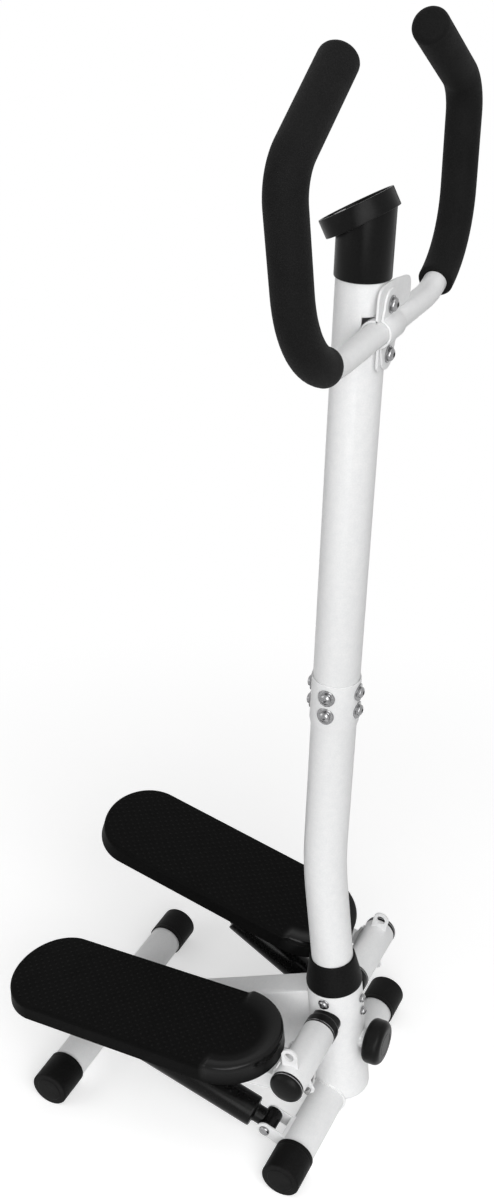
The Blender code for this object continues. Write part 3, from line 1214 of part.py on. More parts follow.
def pedal_outline():
    """Plan of the pedal's edge as (x, y, outward x, outward y), round at the toe and heel."""
    half = (PEDAL_OUTER_X - PEDAL_INNER_X) / 2
    toe = PEDAL_TOE + half
    heel = PEDAL_HEEL - PEDAL_HEEL_DEPTH
    points = []
    for k in range(17):
        a = math.pi + math.pi * k / 16
        points.append((half * math.cos(a), toe + half * math.sin(a)))
    for k in range(1, 6):
        points.append((half, toe + (heel - toe) * k / 6))
    power = 2 / 2.1
    for k in range(17):
        a = math.pi * k / 16
        c = math.cos(a)
        s = math.sin(a)
        points.append((half * math.copysign(abs(c) ** power, c), heel + PEDAL_HEEL_DEPTH * abs(s) ** power))
    for k in range(1, 6):
        points.append((-half, heel + (toe - heel) * k / 6))
    made = []
    for k, here in enumerate(points):
        before = Vector(points[k - 1])
        after = Vector(points[(k + 1) % len(points)])
        heading = (after - before).normalized()
        made.append((*here, heading.y, -heading.x))
    return made


def toe_share(y):
    """How much of the raised toe applies at a distance along the pedal."""
    toe_end = PEDAL_TOE + (PEDAL_OUTER_X - PEDAL_INNER_X) / 2
    t = min(max((toe_end + 0.006 - y) / 0.012, 0.0), 1.0)
    return t * t * (3 - 2 * t)


def make_pedal(name, side, pivot):
    """A skirted tread with a raised toe rim and three cross ribs that rest on the arm."""
    centre = side * (PEDAL_INNER_X + PEDAL_OUTER_X) / 2
    low = PEDAL_TOP - PEDAL_SKIRT
    under = PEDAL_TOP - PEDAL_SHEET
    rings = [(PEDAL_SHEET, under, 0.0), (PEDAL_SHEET, low, 0.0), (-PEDAL_FLARE, low, 0.0),
             (0.0, PEDAL_TOP - 0.006, 0.6), (0.0, PEDAL_TOP - 0.0035, 1.0), (0.0010, PEDAL_TOP - 0.0012, 1.0),
             (0.0035, PEDAL_TOP, 1.0), (0.0090, PEDAL_TOP, 0.96), (TOE_WIDTH * 0.55, PEDAL_TOP, 0.55),
             (TOE_WIDTH * 0.85, PEDAL_TOP, 0.10), (TOE_WIDTH, PEDAL_TOP, 0.0)]
    bm = bmesh.new()
    outline = pedal_outline()
    loops = []
    for inset, height, rise in rings:
        loop = []
        for x, y, out_x, out_y in outline:
            lift = TOE_RISE * rise * toe_share(y)
            loop.append(bm.verts.new((centre + x - out_x * inset, y - out_y * inset, height + lift)))
        loops.append(loop)
    for first, second in zip(loops, loops[1:]):
        stitch(bm, first, second)
    bm.faces.new(loops[0])
    bm.faces.new(loops[-1])
    pedal = solid(f"{name}_pedal", bm, "black_plastic", parent=pivot)
    half = ARM_WIDTH / 2
    for number in range(RIB_COUNT):
        station = RIB_START + RIB_STEP * number
        rib = block((side * ARM_CENTRE_X - half, station - RIB_SHEET / 2, ARM_TOP + SEAT_GAP),
                    (side * ARM_CENTRE_X + half, station + RIB_SHEET / 2, under + 0.001))
        join(pedal, rib, parent=pivot)
    return pedal


# Hydraulic cylinders, in their own frame: origin on the lower pin, Y along the rod

def link_span(pitch):
    """The distance and rise from the lower pin to the upper pin for an arm's pitch."""
    y = AXLE_Y + LINK_REACH * math.cos(pitch) + LINK_DROP * math.sin(pitch) - CLEVIS_Y
    z = AXLE_HEIGHT + LINK_REACH * math.sin(pitch) - LINK_DROP * math.cos(pitch) - CLEVIS_HEIGHT
    return math.hypot(y, z), math.atan2(z, y)


def make_cylinder(name, mount):
    """A tube closed below, with a stepped gland that guides the rod, and a cross eye."""
    r = CYLINDER_RADIUS
    a = CYLINDER_START
    shortest = min(link_span(pitch)[0] for _, _, pitch in SIDES)
    b = shortest - LINK_EYE_RADIUS - ROD_SHOWN - GLAND_LENGTH
    bore = r - CYLINDER_WALL
    slide = ROD_RADIUS + RUNNING_GAP
    gland = b + GLAND_LENGTH
    profile = [(0.0, LOWER_EYE_RADIUS * 0.6), (0.0085, LOWER_EYE_RADIUS * 0.6), (0.0085, a),
               (r - 0.0055, a), (r, a + 0.0050), (r, b - 0.0035), (r - 0.0035, b), (0.0152, b),
               (0.0152, b + 0.0036), (0.0126, b + 0.0036), (0.0126, gland), (slide, gland),
               (slide, b - 0.010), (bore, b - 0.010), (bore, a + 0.016), (0.0, a + 0.016)]
    body = solid(f"{name}_cylinder", along_y(turned(profile, MEDIUM)), "black_paint", parent=mount)
    width = CLEVIS_GAP / 2 - RUNNING_GAP
    join(body, along_x(rod(LOWER_EYE_RADIUS, -width, width, MEDIUM, 0.0006)), parent=mount)
    combine(body, along_x(rod(PIN_RADIUS + SEAT_GAP, -0.03, 0.03, MEDIUM)), parent=mount)
    return body


def make_rod(name, mount, reach):
    """A plated rod with its piston at one end and a cross eye at the other."""
    low = reach - ROD_LENGTH
    piston = CYLINDER_RADIUS - CYLINDER_WALL - RUNNING_GAP
    profile = [(0.0, low), (piston - 0.0006, low), (piston, low + 0.0006), (piston, low + PISTON_LENGTH),
               (ROD_RADIUS, low + PISTON_LENGTH), (ROD_RADIUS, reach - LINK_EYE_RADIUS - 0.004),
               (ROD_RADIUS + 0.0020, reach - LINK_EYE_RADIUS - 0.002),
               (ROD_RADIUS + 0.0020, reach - LINK_EYE_RADIUS * 0.6), (0.0, reach - LINK_EYE_RADIUS * 0.6)]
    shaft = solid(f"{name}_rod", along_y(turned(profile, MEDIUM)), "chrome_steel", parent=mount)
    width = ARM_WIDTH / 2 - ARM_SHEET - RUNNING_GAP * 2
    eye = along_x(rod(LINK_EYE_RADIUS, -width, width, MEDIUM, 0.0006), y=reach)
    join(shaft, eye, parent=mount)
    hole = along_x(rod(PIN_RADIUS + LINK_GAP, -0.04, 0.04, MEDIUM), y=reach)
    return combine(shaft, hole, parent=mount)


def make_side(name, side, pitch):
    """Everything that swings on one side of the machine."""
    pivot = empty(f"{name}_arm_pivot", machine, (0, AXLE_Y, AXLE_HEIGHT), (pitch, 0, 0))
    make_arm(name, side, pivot)
    make_pedal(name, side, pivot)
    solid(f"{name}_upper_pin", pin_mesh(ARM_WIDTH / 2, side), "chrome_steel", parent=pivot,
          location=(side * ARM_CENTRE_X, LINK_REACH, -LINK_DROP))
    make_cable_end(name, side, pitch)
    reach, rise = link_span(pitch)
    mount = empty(f"{name}_cylinder_pivot", machine, (side * ARM_CENTRE_X, CLEVIS_Y, CLEVIS_HEIGHT), (rise, 0, 0))
    make_cylinder(name, mount)
    make_rod(name, mount, reach)
    solid(f"{name}_lower_pin", pin_mesh(CLEVIS_GAP / 2 + CLEVIS_SHEET, side), "chrome_steel", parent=machine,
          location=(side * ARM_CENTRE_X, CLEVIS_Y, CLEVIS_HEIGHT))
    make_clevis(f"{name}_clevis", side)
    make_bushings(name, side)
    make_axle_cap(name, side)


def centre_on_footprint():
    """Move the whole machine so that the middle of its box stands on the origin."""
    bpy.context.view_layer.update()
    reach = [(item.matrix_world @ corner.co).y for item in bpy.data.objects if item.type == "MESH"
             for corner in item.data.vertices]
    machine.location.y = -(min(reach) + max(reach)) / 2
    bpy.context.view_layer.update()
    print("moved along Y by", round(machine.location.y, 6))


clear_scene()
machine = empty("machine")
for place_name, place_y in (("front", 0.0), ("rear", BASE_LENGTH)):
    floor_tube(f"{place_name}_floor_tube", place_y)
    for side_name, side_sign, _ in SIDES:
        foot_cap(f"{place_name}_{side_name}_foot_cap", side_sign, place_y)
make_hub()
make_spine()
make_axle()
make_collar()
make_lower_post()
make_upper_post()
make_coupling_screws()
make_hub_screws()
make_clamp_strap()
make_clamp_bolts()
make_handlebar()
for side_name, side_sign, side_pitch in SIDES:
    make_grip(f"{side_name}_grip", side_sign)
    make_side(side_name, side_sign, side_pitch)
make_housing()
make_console()
make_lens_and_button()
make_knob()
make_fork()
make_pulley()
make_cable()
centre_on_footprint()
meshes = [item for item in bpy.data.objects if item.type == "MESH"]
print("pieces", len(meshes))
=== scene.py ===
# %% [markdown]
# A mini stepper: two pedals on one axle, a tall white post and a bent handlebar with foam grips.
# Its pieces could be modelled from nothing, but then they would drift from the solids that carry
# the joints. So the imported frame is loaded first, and each new piece is laid over a node of it,
# keeps that node's place and moves with its body.

# %% Load the frame
import json
import math

import bpy
from mathutils import Matrix, Vector


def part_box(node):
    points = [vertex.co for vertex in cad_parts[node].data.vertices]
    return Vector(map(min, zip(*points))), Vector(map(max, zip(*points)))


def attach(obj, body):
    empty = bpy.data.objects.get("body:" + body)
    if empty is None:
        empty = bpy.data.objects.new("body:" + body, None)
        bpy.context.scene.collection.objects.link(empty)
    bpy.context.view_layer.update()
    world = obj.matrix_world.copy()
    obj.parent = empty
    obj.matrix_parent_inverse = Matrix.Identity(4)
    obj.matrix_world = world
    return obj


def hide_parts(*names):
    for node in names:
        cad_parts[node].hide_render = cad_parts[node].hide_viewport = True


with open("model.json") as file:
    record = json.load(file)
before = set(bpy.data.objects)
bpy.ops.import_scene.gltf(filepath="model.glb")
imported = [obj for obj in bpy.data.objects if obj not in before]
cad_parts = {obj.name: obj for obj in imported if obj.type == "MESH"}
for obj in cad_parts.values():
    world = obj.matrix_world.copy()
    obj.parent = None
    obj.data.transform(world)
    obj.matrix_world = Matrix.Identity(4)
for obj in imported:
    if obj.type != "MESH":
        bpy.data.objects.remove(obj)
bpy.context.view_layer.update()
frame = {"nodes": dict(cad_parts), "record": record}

SLOTS = {row["node"]: row["material_slot"] for row in frame["record"]["subparts"]}
BODY_OF = {node: body for body, nodes in frame["record"]["behaviour"]["bodies"].items() for node in nodes}
SIDES = (("right", -1), ("left", 1))

# %% [markdown]
# The base is measured from the middle of its two floor tubes, and all that swings from the axle.
# These places could be typed in, but the frame knows them, so they are read from it.

# %% Places read from the frame
tube_low, tube_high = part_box("front_floor_tube")
rear_low, rear_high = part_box("rear_floor_tube")
axle_low, axle_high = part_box("axle")
FRONT_Y = (tube_low.y + tube_high.y) / 2
REAR_Y = (rear_low.y + rear_high.y) / 2
TUBE_Z = (tube_low.z + tube_high.z) / 2
TUBE_RADIUS = (tube_high.z - tube_low.z) / 2
AXLE_Y = (axle_low.y + axle_high.y) / 2
AXLE_Z = (axle_low.z + axle_high.z) / 2
print("front tube", round(FRONT_Y, 4), "axle", round(AXLE_Y, 4), round(AXLE_Z, 4))

# %% [markdown]
# The camera stands high on the user's right and looks down thirty degrees. It could be aimed by
# eye, but a match needs more: its turn, height and lens were found by fitting the tubes and caps,
# and a small shift of the lens puts the middle of the picture where the photograph has it.

# %% Camera
PICTURE_WIDTH = 494
PICTURE_HEIGHT = 1200
FOCAL_PIXELS = 1430.0
CENTRE_PIXEL = (255.56, 628.87)
CAMERA_TURN = -1.1114
CAMERA_RISE = 0.5247
CAMERA_ROLL = -0.01353
CAMERA_PLACE = Vector((-1.37384, FRONT_Y - 0.55645, 1.64264))

back = Vector((math.sin(CAMERA_TURN) * math.cos(CAMERA_RISE), -math.cos(CAMERA_TURN) * math.cos(CAMERA_RISE),
               math.sin(CAMERA_RISE)))
level = Vector((math.cos(CAMERA_TURN), math.sin(CAMERA_TURN), 0))
upward = back.cross(level)
right = level * math.cos(CAMERA_ROLL) + upward * math.sin(CAMERA_ROLL)
above = upward * math.cos(CAMERA_ROLL) - level * math.sin(CAMERA_ROLL)
lens = bpy.data.cameras.new("photo_lens")
lens.sensor_width = 36.0
lens.lens = FOCAL_PIXELS / PICTURE_HEIGHT * lens.sensor_width
lens.shift_x = (PICTURE_WIDTH / 2 - CENTRE_PIXEL[0]) / PICTURE_HEIGHT
lens.shift_y = (CENTRE_PIXEL[1] - PICTURE_HEIGHT / 2) / PICTURE_HEIGHT
camera = bpy.data.objects.new("photo_camera", lens)
bpy.context.scene.collection.objects.link(camera)
camera.matrix_world = Matrix.Translation(CAMERA_PLACE) @ Matrix((right, above, back)).transposed().to_4x4()
bpy.context.scene.camera = camera
print("lens", round(lens.lens, 2), "shift", round(lens.shift_x, 4), round(lens.shift_y, 4))

# %% [markdown]
# Finishes come before shapes. Powder coat, foam, rubber, plastic, gloss paint and plated steel all
# need the same few effects. They could be built anew in each material. A node group keeps an effect
# in one place, with named inputs, so the materials stay short and alike.

# %% Nodes and groups
def add_node(tree, kind, inputs=None, **settings):
    """A node with its settings, and with values for the inputs that no wire feeds."""
    node = tree.nodes.new(kind)
    for label, value in settings.items():
        setattr(node, label, value)
    for key, value in (inputs or {}).items():
        node.inputs[key].default_value = value
    return node


def join(tree, *wires):
    """Each wire is a node with its output, and a node with its input."""
    for start, out, end, into in wires:
        tree.links.new(start.outputs[out], end.inputs[into])


def new_group(name, numbers, outputs):
    """A group that takes a vector and named numbers, and gives out named values."""
    group = bpy.data.node_groups.new(name, "ShaderNodeTree")
    group.interface.new_socket("Vector", in_out="INPUT", socket_type="NodeSocketVector")
    for label, value in numbers.items():
        socket = group.interface.new_socket(label, in_out="INPUT", socket_type="NodeSocketFloat")
        socket.default_value = value
    for label in outputs:
        group.interface.new_socket(label, in_out="OUTPUT", socket_type="NodeSocketFloat")
    return group, group.nodes.new("NodeGroupInput"), group.nodes.new("NodeGroupOutput")


print("node helpers ready")

# %% [markdown]
# Paint, rubber and plastic have a fine grain, and cut foam has round pits between raised walls. Both
# could be painted pictures, but a picture has seams and one size. Noise and a cell pattern follow
# the object's own coordinates instead. Each group gives a height and a mask.

# %% Grain and pores
def make_grain():
    group, start, end = new_group("grain", {"Scale": 900.0}, ("Height", "Mask"))
    fine = add_node(group, "ShaderNodeTexNoise", {"Detail": 3.0, "Roughness": 0.6})
    coarse = add_node(group, "ShaderNodeTexNoise", {"Detail": 1.0})
    shrink = add_node(group, "ShaderNodeMath", {1: 0.22}, operation="MULTIPLY")
    blend = add_node(group, "ShaderNodeMix", {0: 0.35}, data_type="FLOAT")
    sharpen = add_node(group, "ShaderNodeMapRange", {"From Min": 0.35, "From Max": 0.65})
    join(group, (start, "Vector", fine, "Vector"), (start, "Vector", coarse, "Vector"),
         (start, "Scale", fine, "Scale"), (start, "Scale", shrink, 0), (shrink, 0, coarse, "Scale"),
         (fine, "Fac", blend, 2), (coarse, "Fac", blend, 3), (blend, 0, end, "Height"),
         (blend, 0, sharpen, "Value"), (sharpen, "Result", end, "Mask"))
    return group


def make_pores():
    group, start, end = new_group("pores", {"Scale": 900.0}, ("Height", "Mask"))
    cells = add_node(group, "ShaderNodeTexVoronoi", feature="F1")
    spread = add_node(group, "ShaderNodeMapRange", {"From Min": 0.05, "From Max": 0.62})
    join(group, (start, "Vector", cells, "Vector"), (start, "Scale", cells, "Scale"),
         (cells, "Distance", spread, "Value"), (spread, "Result", end, "Height"),
         (spread, "Result", end, "Mask"))
    return group


GRAIN = make_grain()
PORES = make_pores()
print("groups", GRAIN.name, PORES.name)

# %% [markdown]
# No surface is even. Handling leaves duller patches, and dust settles on what faces up. The patches
# are a slow noise cut off at a level that the cover sets, and the dust reads the surface's normal.
# Dust could be modelled as specks, but at this distance it only pales the tone.

# %% Clouds and dust
def make_clouds():
    group, start, end = new_group("clouds", {"Scale": 20.0, "Cover": 0.5}, ("Mask",))
    noise = add_node(group, "ShaderNodeTexNoise", {"Detail": 5.0, "Roughness": 0.62})
    edge = add_node(group, "ShaderNodeMath", {0: 1.0}, operation="SUBTRACT")
    reach = add_node(group, "ShaderNodeMath", {1: 0.25}, operation="ADD")
    step = add_node(group, "ShaderNodeMapRange")
    join(group, (start, "Vector", noise, "Vector"), (start, "Scale", noise, "Scale"),
         (start, "Cover", edge, 1), (edge, 0, reach, 0), (noise, "Fac", step, "Value"),
         (edge, 0, step, "From Min"), (reach, 0, step, "From Max"), (step, "Result", end, "Mask"))
    return group


def make_dust():
    group, start, end = new_group("dust", {"Amount": 0.1}, ("Mask",))
    facing = add_node(group, "ShaderNodeNewGeometry")
    split = add_node(group, "ShaderNodeSeparateXYZ")
    rise = add_node(group, "ShaderNodeMapRange", {"From Min": 0.35})
    noise = add_node(group, "ShaderNodeTexNoise", {"Scale": 130.0, "Detail": 6.0, "Roughness": 0.7})
    patch = add_node(group, "ShaderNodeMath", operation="MULTIPLY")
    fade = add_node(group, "ShaderNodeMath", operation="MULTIPLY")
    join(group, (facing, "Normal", split, 0), (split, "Z", rise, "Value"),
         (start, "Vector", noise, "Vector"), (rise, "Result", patch, 0), (noise, "Fac", patch, 1),
         (patch, 0, fade, 0), (start, "Amount", fade, 1), (fade, 0, end, "Mask"))
    return group


CLOUDS = make_clouds()
DUST = make_dust()
print("groups", CLOUDS.name, DUST.name)

# %% [markdown]
# One maker builds every opaque finish: two tones mixed by the grain or the pores, a roughness that
# the clouds shift, a little dust, and a bump. Each finish could have its own tree, but then a change
# would be made ten times. Numbers that are the same all over are set on the shader itself.

# %% The finish maker
DUST_TONE = (0.42, 0.41, 0.39)
CLOUD_SCALE = 26.0
CLOUD_COVER = 0.5


def place_group(tree, group, vector, **values):
    node = add_node(tree, "ShaderNodeGroup", node_tree=group)
    for label, value in values.items():
        node.inputs[label.title()].default_value = value
    tree.links.new(vector, node.inputs["Vector"])
    return node


def mixed_colour(tree, factor, first, second):
    mix = add_node(tree, "ShaderNodeMix", data_type="RGBA")
    tree.links.new(factor, mix.inputs[0])
    for socket, colour in ((mix.inputs[6], first), (mix.inputs[7], second)):
        if isinstance(colour, tuple):
            socket.default_value = (*colour, 1.0)
        else:
            tree.links.new(colour, socket)
    return mix.outputs[2]


def new_finish(name, tones, rough, relief, grain=GRAIN, scale=900.0, metallic=0.0, dust=0.02, plain=None):
    """tones are the colours in the hollows and on the hills; relief is the bump's strength and depth."""
    made = bpy.data.materials.new(name)
    made.use_nodes = True
    tree = made.node_tree
    shader = tree.nodes["Principled BSDF"]
    place = tree.nodes.new("ShaderNodeTexCoord").outputs["Object"]
    surface = place_group(tree, grain, place, scale=scale)
    clouds = place_group(tree, CLOUDS, place, scale=CLOUD_SCALE, cover=CLOUD_COVER)
    settled = place_group(tree, DUST, place, amount=dust)
    tone = mixed_colour(tree, surface.outputs["Mask"], *tones)
    dusty = mixed_colour(tree, settled.outputs["Mask"], tone, DUST_TONE)
    tree.links.new(dusty, shader.inputs["Base Color"])
    gloss = add_node(tree, "ShaderNodeMapRange", {"To Min": rough[0], "To Max": rough[1]})
    bump = add_node(tree, "ShaderNodeBump", {"Strength": relief[0], "Distance": relief[1]})
    join(tree, (clouds, "Mask", gloss, "Value"), (gloss, "Result", shader, "Roughness"),
         (surface, "Height", bump, "Height"), (bump, "Normal", shader, "Normal"))
    shader.inputs["Metallic"].default_value = metallic
    for label, value in (plain or {}).items():
        shader.inputs[label].default_value = value
    return made


def greys(hollow, hill):
    return (hollow,) * 3, (hill,) * 3


print("finish maker ready")

# %% [markdown]
# Here are the plain finishes. The blacks of foam, rubber, plastic and paint could share one tone,
# but each catches light in its own way: foam is dull and pitted, rubber soft, plastic a little
# glossy, and the cylinders' paint shines. Their reflection is kept low, or they would look grey.

# %% The finishes
REFLECTION = "Specular IOR Level"
FINISH = {
    "white_coat": new_finish("white_powder_coat", ((0.76, 0.765, 0.77), (0.82, 0.82, 0.82)), (0.38, 0.50),
                             (0.16, 0.0006), scale=520.0, dust=0.0, plain={REFLECTION: 0.32}),
    "black_foam": new_finish("black_grip_foam", greys(0.011, 0.005), (0.72, 0.85), (0.5, 0.0005),
                             grain=PORES, dust=0.0, plain={REFLECTION: 0.08, "Sheen Weight": 0.01}),
    "black_rubber": new_finish("moulded_black_rubber", greys(0.003, 0.008), (0.50, 0.66), (0.25, 0.0004),
                               scale=1500.0, dust=0.003, plain={REFLECTION: 0.06}),
    "black_plastic": new_finish("textured_black_plastic", greys(0.003, 0.007), (0.32, 0.46), (0.22, 0.0003),
                                scale=1900.0, dust=0.003, plain={REFLECTION: 0.09}),
    "black_paint": new_finish("black_gloss_paint", greys(0.002, 0.005), (0.20, 0.30), (0.08, 0.0004),
                              scale=320.0, dust=0.003, plain={REFLECTION: 0.11}),
    # Plated steel is darker here than bright plating: painted shade for the dark room that its polish
    # mirrors.
    "chrome_steel": new_finish("plated_steel_painted_dark_reflection", ((0.20, 0.20, 0.205), (0.36, 0.36, 0.365)), (0.16, 0.28),
                               (0.06, 0.0002), scale=1200.0, metallic=1.0, dust=0.01),
    "smoked_lens": new_finish("smoked_window", ((0.012, 0.014, 0.013), (0.020, 0.022, 0.021)), (0.05, 0.10),
                              (0.02, 0.0002), scale=300.0, plain={REFLECTION: 0.5}),
    "grey_button": new_finish("grey_button_plastic", greys(0.26, 0.34), (0.42, 0.52), (0.15, 0.0003),
                              scale=1600.0, dust=0.04),
}
# The studs are a touch lighter than the tread: a painted glint for the light that their tops catch.
STUD_GLINT_FINISH = new_finish("stud_plastic_painted_glint", greys(0.001, 0.0065), (0.48, 0.60), (0.20, 0.0003),
                         scale=1400.0, dust=0.006, plain={REFLECTION: 0.045})
print("finishes", len(FINISH) + 1)

# %% [markdown]
# The cable is stranded: thin wires wound round each other. The wires could be modelled one by one,
# but most of the cable is hidden in the hub, so slanting bands of a wave, read as relief, are enough.

# %% Cable finish
WIRE_SLANT = 0.7


def cable_finish():
    made = new_finish("stranded_cable", greys(0.16, 0.42), (0.30, 0.45), (0.1, 0.0002), metallic=1.0)
    tree = made.node_tree
    place = tree.nodes.new("ShaderNodeTexCoord")
    slant = add_node(tree, "ShaderNodeMapping", {"Rotation": (0.0, 0.0, WIRE_SLANT)})
    wires = add_node(tree, "ShaderNodeTexWave", {"Scale": 340.0, "Distortion": 0.6})
    bump = next(node for node in tree.nodes if node.type == "BUMP")
    bump.inputs["Strength"].default_value = 0.7
    bump.inputs["Distance"].default_value = 0.0006
    join(tree, (place, "Object", slant, "Vector"), (slant, "Vector", wires, "Vector"),
         (wires, "Fac", bump, "Height"))
    return made


FINISH["steel_cable"] = cable_finish()
print("finish", FINISH["steel_cable"].name)

# %% [markdown]
# A pedal is matte, with a smooth glossy toe. Two materials would meet in a hard line there. One
# material that reads an attribute named toe, painted on the mesh later, fades between the two.

# %% Pedal finish
TOE_ROUGHNESS = 0.27
TOE_POLISH = 0.28
SMOOTH_HEIGHT = 0.5


def pedal_finish():
    made = new_finish("pedal_plastic", greys(0.001, 0.004), (0.54, 0.66), (0.35, 0.0004), scale=1300.0,
                      dust=0.002, plain={REFLECTION: 0.035, "Coat Roughness": 0.20})
    tree = made.node_tree
    shader = tree.nodes["Principled BSDF"]
    bump = next(node for node in tree.nodes if node.type == "BUMP")
    toe = add_node(tree, "ShaderNodeAttribute", attribute_name="toe")
    for socket, value in ((shader.inputs["Roughness"], TOE_ROUGHNESS),
                          (bump.inputs["Height"], SMOOTH_HEIGHT)):
        before = socket.links[0].from_socket
        blend = add_node(tree, "ShaderNodeMix", {3: value}, data_type="FLOAT")
        join(tree, (toe, "Fac", blend, 0))
        tree.links.new(before, blend.inputs[2])
        tree.links.new(blend.outputs[0], socket)
    polish = add_node(tree, "ShaderNodeMath", {1: TOE_POLISH}, operation="MULTIPLY")
    join(tree, (toe, "Fac", polish, 0), (polish, 0, shader, "Coat Weight"))
    return made


PEDAL_FINISH = pedal_finish()
for node_name, node in frame["nodes"].items():
    node.data.materials.clear()
    node.data.materials.append(FINISH[SLOTS[node_name]])
print("finish", PEDAL_FINISH.name, "and one on each of", len(frame["nodes"]), "nodes")

# %% [markdown]
# Shapes are made as by hand, with operators in edit mode. An operator acts on all that is selected,
# and the frame comes in selected, so everything is deselected before a piece is chosen.

# %% Choosing a piece
def deselect():
    if bpy.context.mode != "OBJECT":
        bpy.ops.object.mode_set(mode="OBJECT")
    bpy.ops.object.select_all(action="DESELECT")


def choose(piece):
    deselect()
    bpy.context.view_layer.objects.active = piece
    piece.select_set(True)


def open_edit(piece):
    choose(piece)
    bpy.ops.object.mode_set(mode="EDIT")
    bpy.ops.mesh.select_all(action="SELECT")


def face_out(piece):
    open_edit(piece)
    bpy.ops.mesh.normals_make_consistent(inside=False)
    bpy.ops.object.mode_set(mode="OBJECT")
    return piece


print("mode", bpy.context.mode)

# %% [markdown]
# Pieces are moved by matrices. A matrix could stay on the object, but the export puts every object
# at the origin, so it is applied to the mesh at once. Most pipes lie along X or along Y.

# %% Placing a piece
def shifted(x, y, z):
    return Matrix.Translation((x, y, z))


def rotated(angle, axis):
    return Matrix.Rotation(angle, 4, axis)


def placed(piece, matrix):
    choose(piece)
    piece.matrix_world = matrix
    bpy.ops.object.transform_apply(location=True, rotation=True, scale=True)
    return piece


ALONG_X = rotated(math.pi / 2, "Y")
ALONG_Y = rotated(-math.pi / 2, "X")
print("turns ready")

# %% [markdown]
# No real edge is sharp. A bevel on the finished mesh could break on the thin walls, so the corners
# are softened earlier, on the flat outline. Round stretches of an outline are arcs.

# %% Outlines
MOST_OF_LATHE_SIDE = 0.45
MOST_OF_PLATE_SIDE = 0.49


def corner(before, here, after, radius, steps, most):
    """Points of a soft corner that takes at most a share of its two sides."""
    here = Vector(here)
    back_side = Vector(before) - here
    next_side = Vector(after) - here
    reach = min(radius, back_side.length * most, next_side.length * most)
    first = here + back_side.normalized() * reach
    last = here + next_side.normalized() * reach
    shares = [step / steps for step in range(steps + 1)]
    points = [first * (1 - t) ** 2 + here * 2 * t * (1 - t) + last * t ** 2 for t in shares]
    return [(point.x, point.y) for point in points]


def eased(outline, amount, steps=3, ring=False):
    """Soften each corner of a lathe's outline of (radius, height) points."""
    count = len(outline)
    made = []
    for k in range(count) if ring else range(1, count - 1):
        after = outline[(k + 1) % count]
        made += corner(outline[k - 1], outline[k], after, amount, steps, MOST_OF_LATHE_SIDE)
    return made if ring else [outline[0]] + made + [outline[-1]]


def rounded(points, radii, steps=8):
    """A plate's closed outline with a radius for each corner, where 0 leaves it sharp."""
    made = []
    for k, (point, radius) in enumerate(zip(points, radii)):
        after = points[(k + 1) % len(points)]
        made += corner(points[k - 1], point, after, radius, steps, MOST_OF_PLATE_SIDE) if radius else [point]
    return made


def arc(centre, radius, first, step, count, rise=None):
    """Points on a circle, or on an ellipse with its own rise; first and step are degrees."""
    angles = [math.radians(first + k * step) for k in range(count)]
    return [(centre[0] + radius * math.cos(a), centre[1] + (rise or radius) * math.sin(a)) for a in angles]


print("a quarter circle has", len(arc((0, 0), 1, 0, 10, 10)), "points")

# %% [markdown]
# Most of the stepper is turned: tubes, caps, bushings, screws and the knob. A ready cylinder could
# be joined from parts, but a lathe gives the whole section in one piece. It starts as a circle, and
# each point of the outline is one extrude and one resize. A ring's two ends are bridged.

# %% A lathe
ROUND = 72


def new_circle(name, sides, radius, filled):
    deselect()
    fill = "NGON" if filled else "NOTHING"
    bpy.ops.mesh.primitive_circle_add(vertices=sides, radius=radius, fill_type=fill)
    piece = bpy.context.object
    piece.name = name
    return piece


def turned(name, outline, sides=ROUND, ring=False):
    """Grow a round piece along Z from an outline of (radius, height) points."""
    radius, height = outline[0]
    piece = new_circle(name, sides, radius, not ring)
    open_edit(piece)
    bpy.ops.transform.translate(value=(0, 0, height))
    for next_radius, next_height in outline[1:]:
        bpy.ops.mesh.extrude_region_move(TRANSFORM_OT_translate={"value": (0, 0, next_height - height)})
        share = next_radius / radius
        bpy.ops.transform.resize(value=(share, share, 1), center_override=(0, 0, next_height))
        radius, height = next_radius, next_height
    if ring:
        bpy.ops.mesh.select_all(action="SELECT")
        bpy.ops.mesh.region_to_loop()
        bpy.ops.mesh.bridge_edge_loops()
    return face_out(piece)


print("lathe ready,", ROUND, "sides")

# %% [markdown]
# The post, the handlebar and the grips are bent pipes. A curve with a bevel could make them, but its
# section turns in the bends. Here a circle is extruded along each run and spun round each bend, as
# a pipe bender does, so the section stays true and may change its radius on the way.

# %% A pipe bender
BEND_DEGREES = 4
FEWEST_STEPS = 4


def drawn(name, radius, start, heading, normal, steps, sides=48):
    """Draw a pipe in runs and bends; a bend's centre lies along normal x heading."""
    here = Vector(start)
    heading = Vector(heading).normalized()
    normal = Vector(normal).normalized()
    piece = new_circle(name, sides, radius, False)
    aim = Matrix((normal, heading.cross(normal), heading)).transposed().to_4x4()
    placed(piece, Matrix.Translation(here) @ aim)
    open_edit(piece)
    for kind, amount, value in steps:
        if kind == "run":
            here = here + heading * amount
            bpy.ops.mesh.extrude_region_move(TRANSFORM_OT_translate={"value": heading * amount})
            share = value / radius
            bpy.ops.transform.resize(value=(share, share, share), center_override=here)
            radius = value
        else:
            centre = here + normal.cross(heading) * value
            count = max(FEWEST_STEPS, round(abs(math.degrees(amount)) / BEND_DEGREES))
            bpy.ops.mesh.spin(steps=count, angle=-amount, center=centre, axis=normal)
            turn = rotated(amount, normal)
            here = centre + turn @ (here - centre)
            heading = (turn @ heading).normalized()
    bpy.ops.mesh.select_all(action="SELECT")
    bpy.ops.mesh.fill_holes(sides=0)
    return face_out(piece)


print("a bend has a step every", BEND_DEGREES, "degrees")

# %% [markdown]
# Sheet parts are flat outlines with a thickness. A circle's corners are pulled onto the outline and
# extruded. A Bevel modifier would also take the outline's own corners, so only the two rims are
# chamfered, by an inset of the two flat faces.

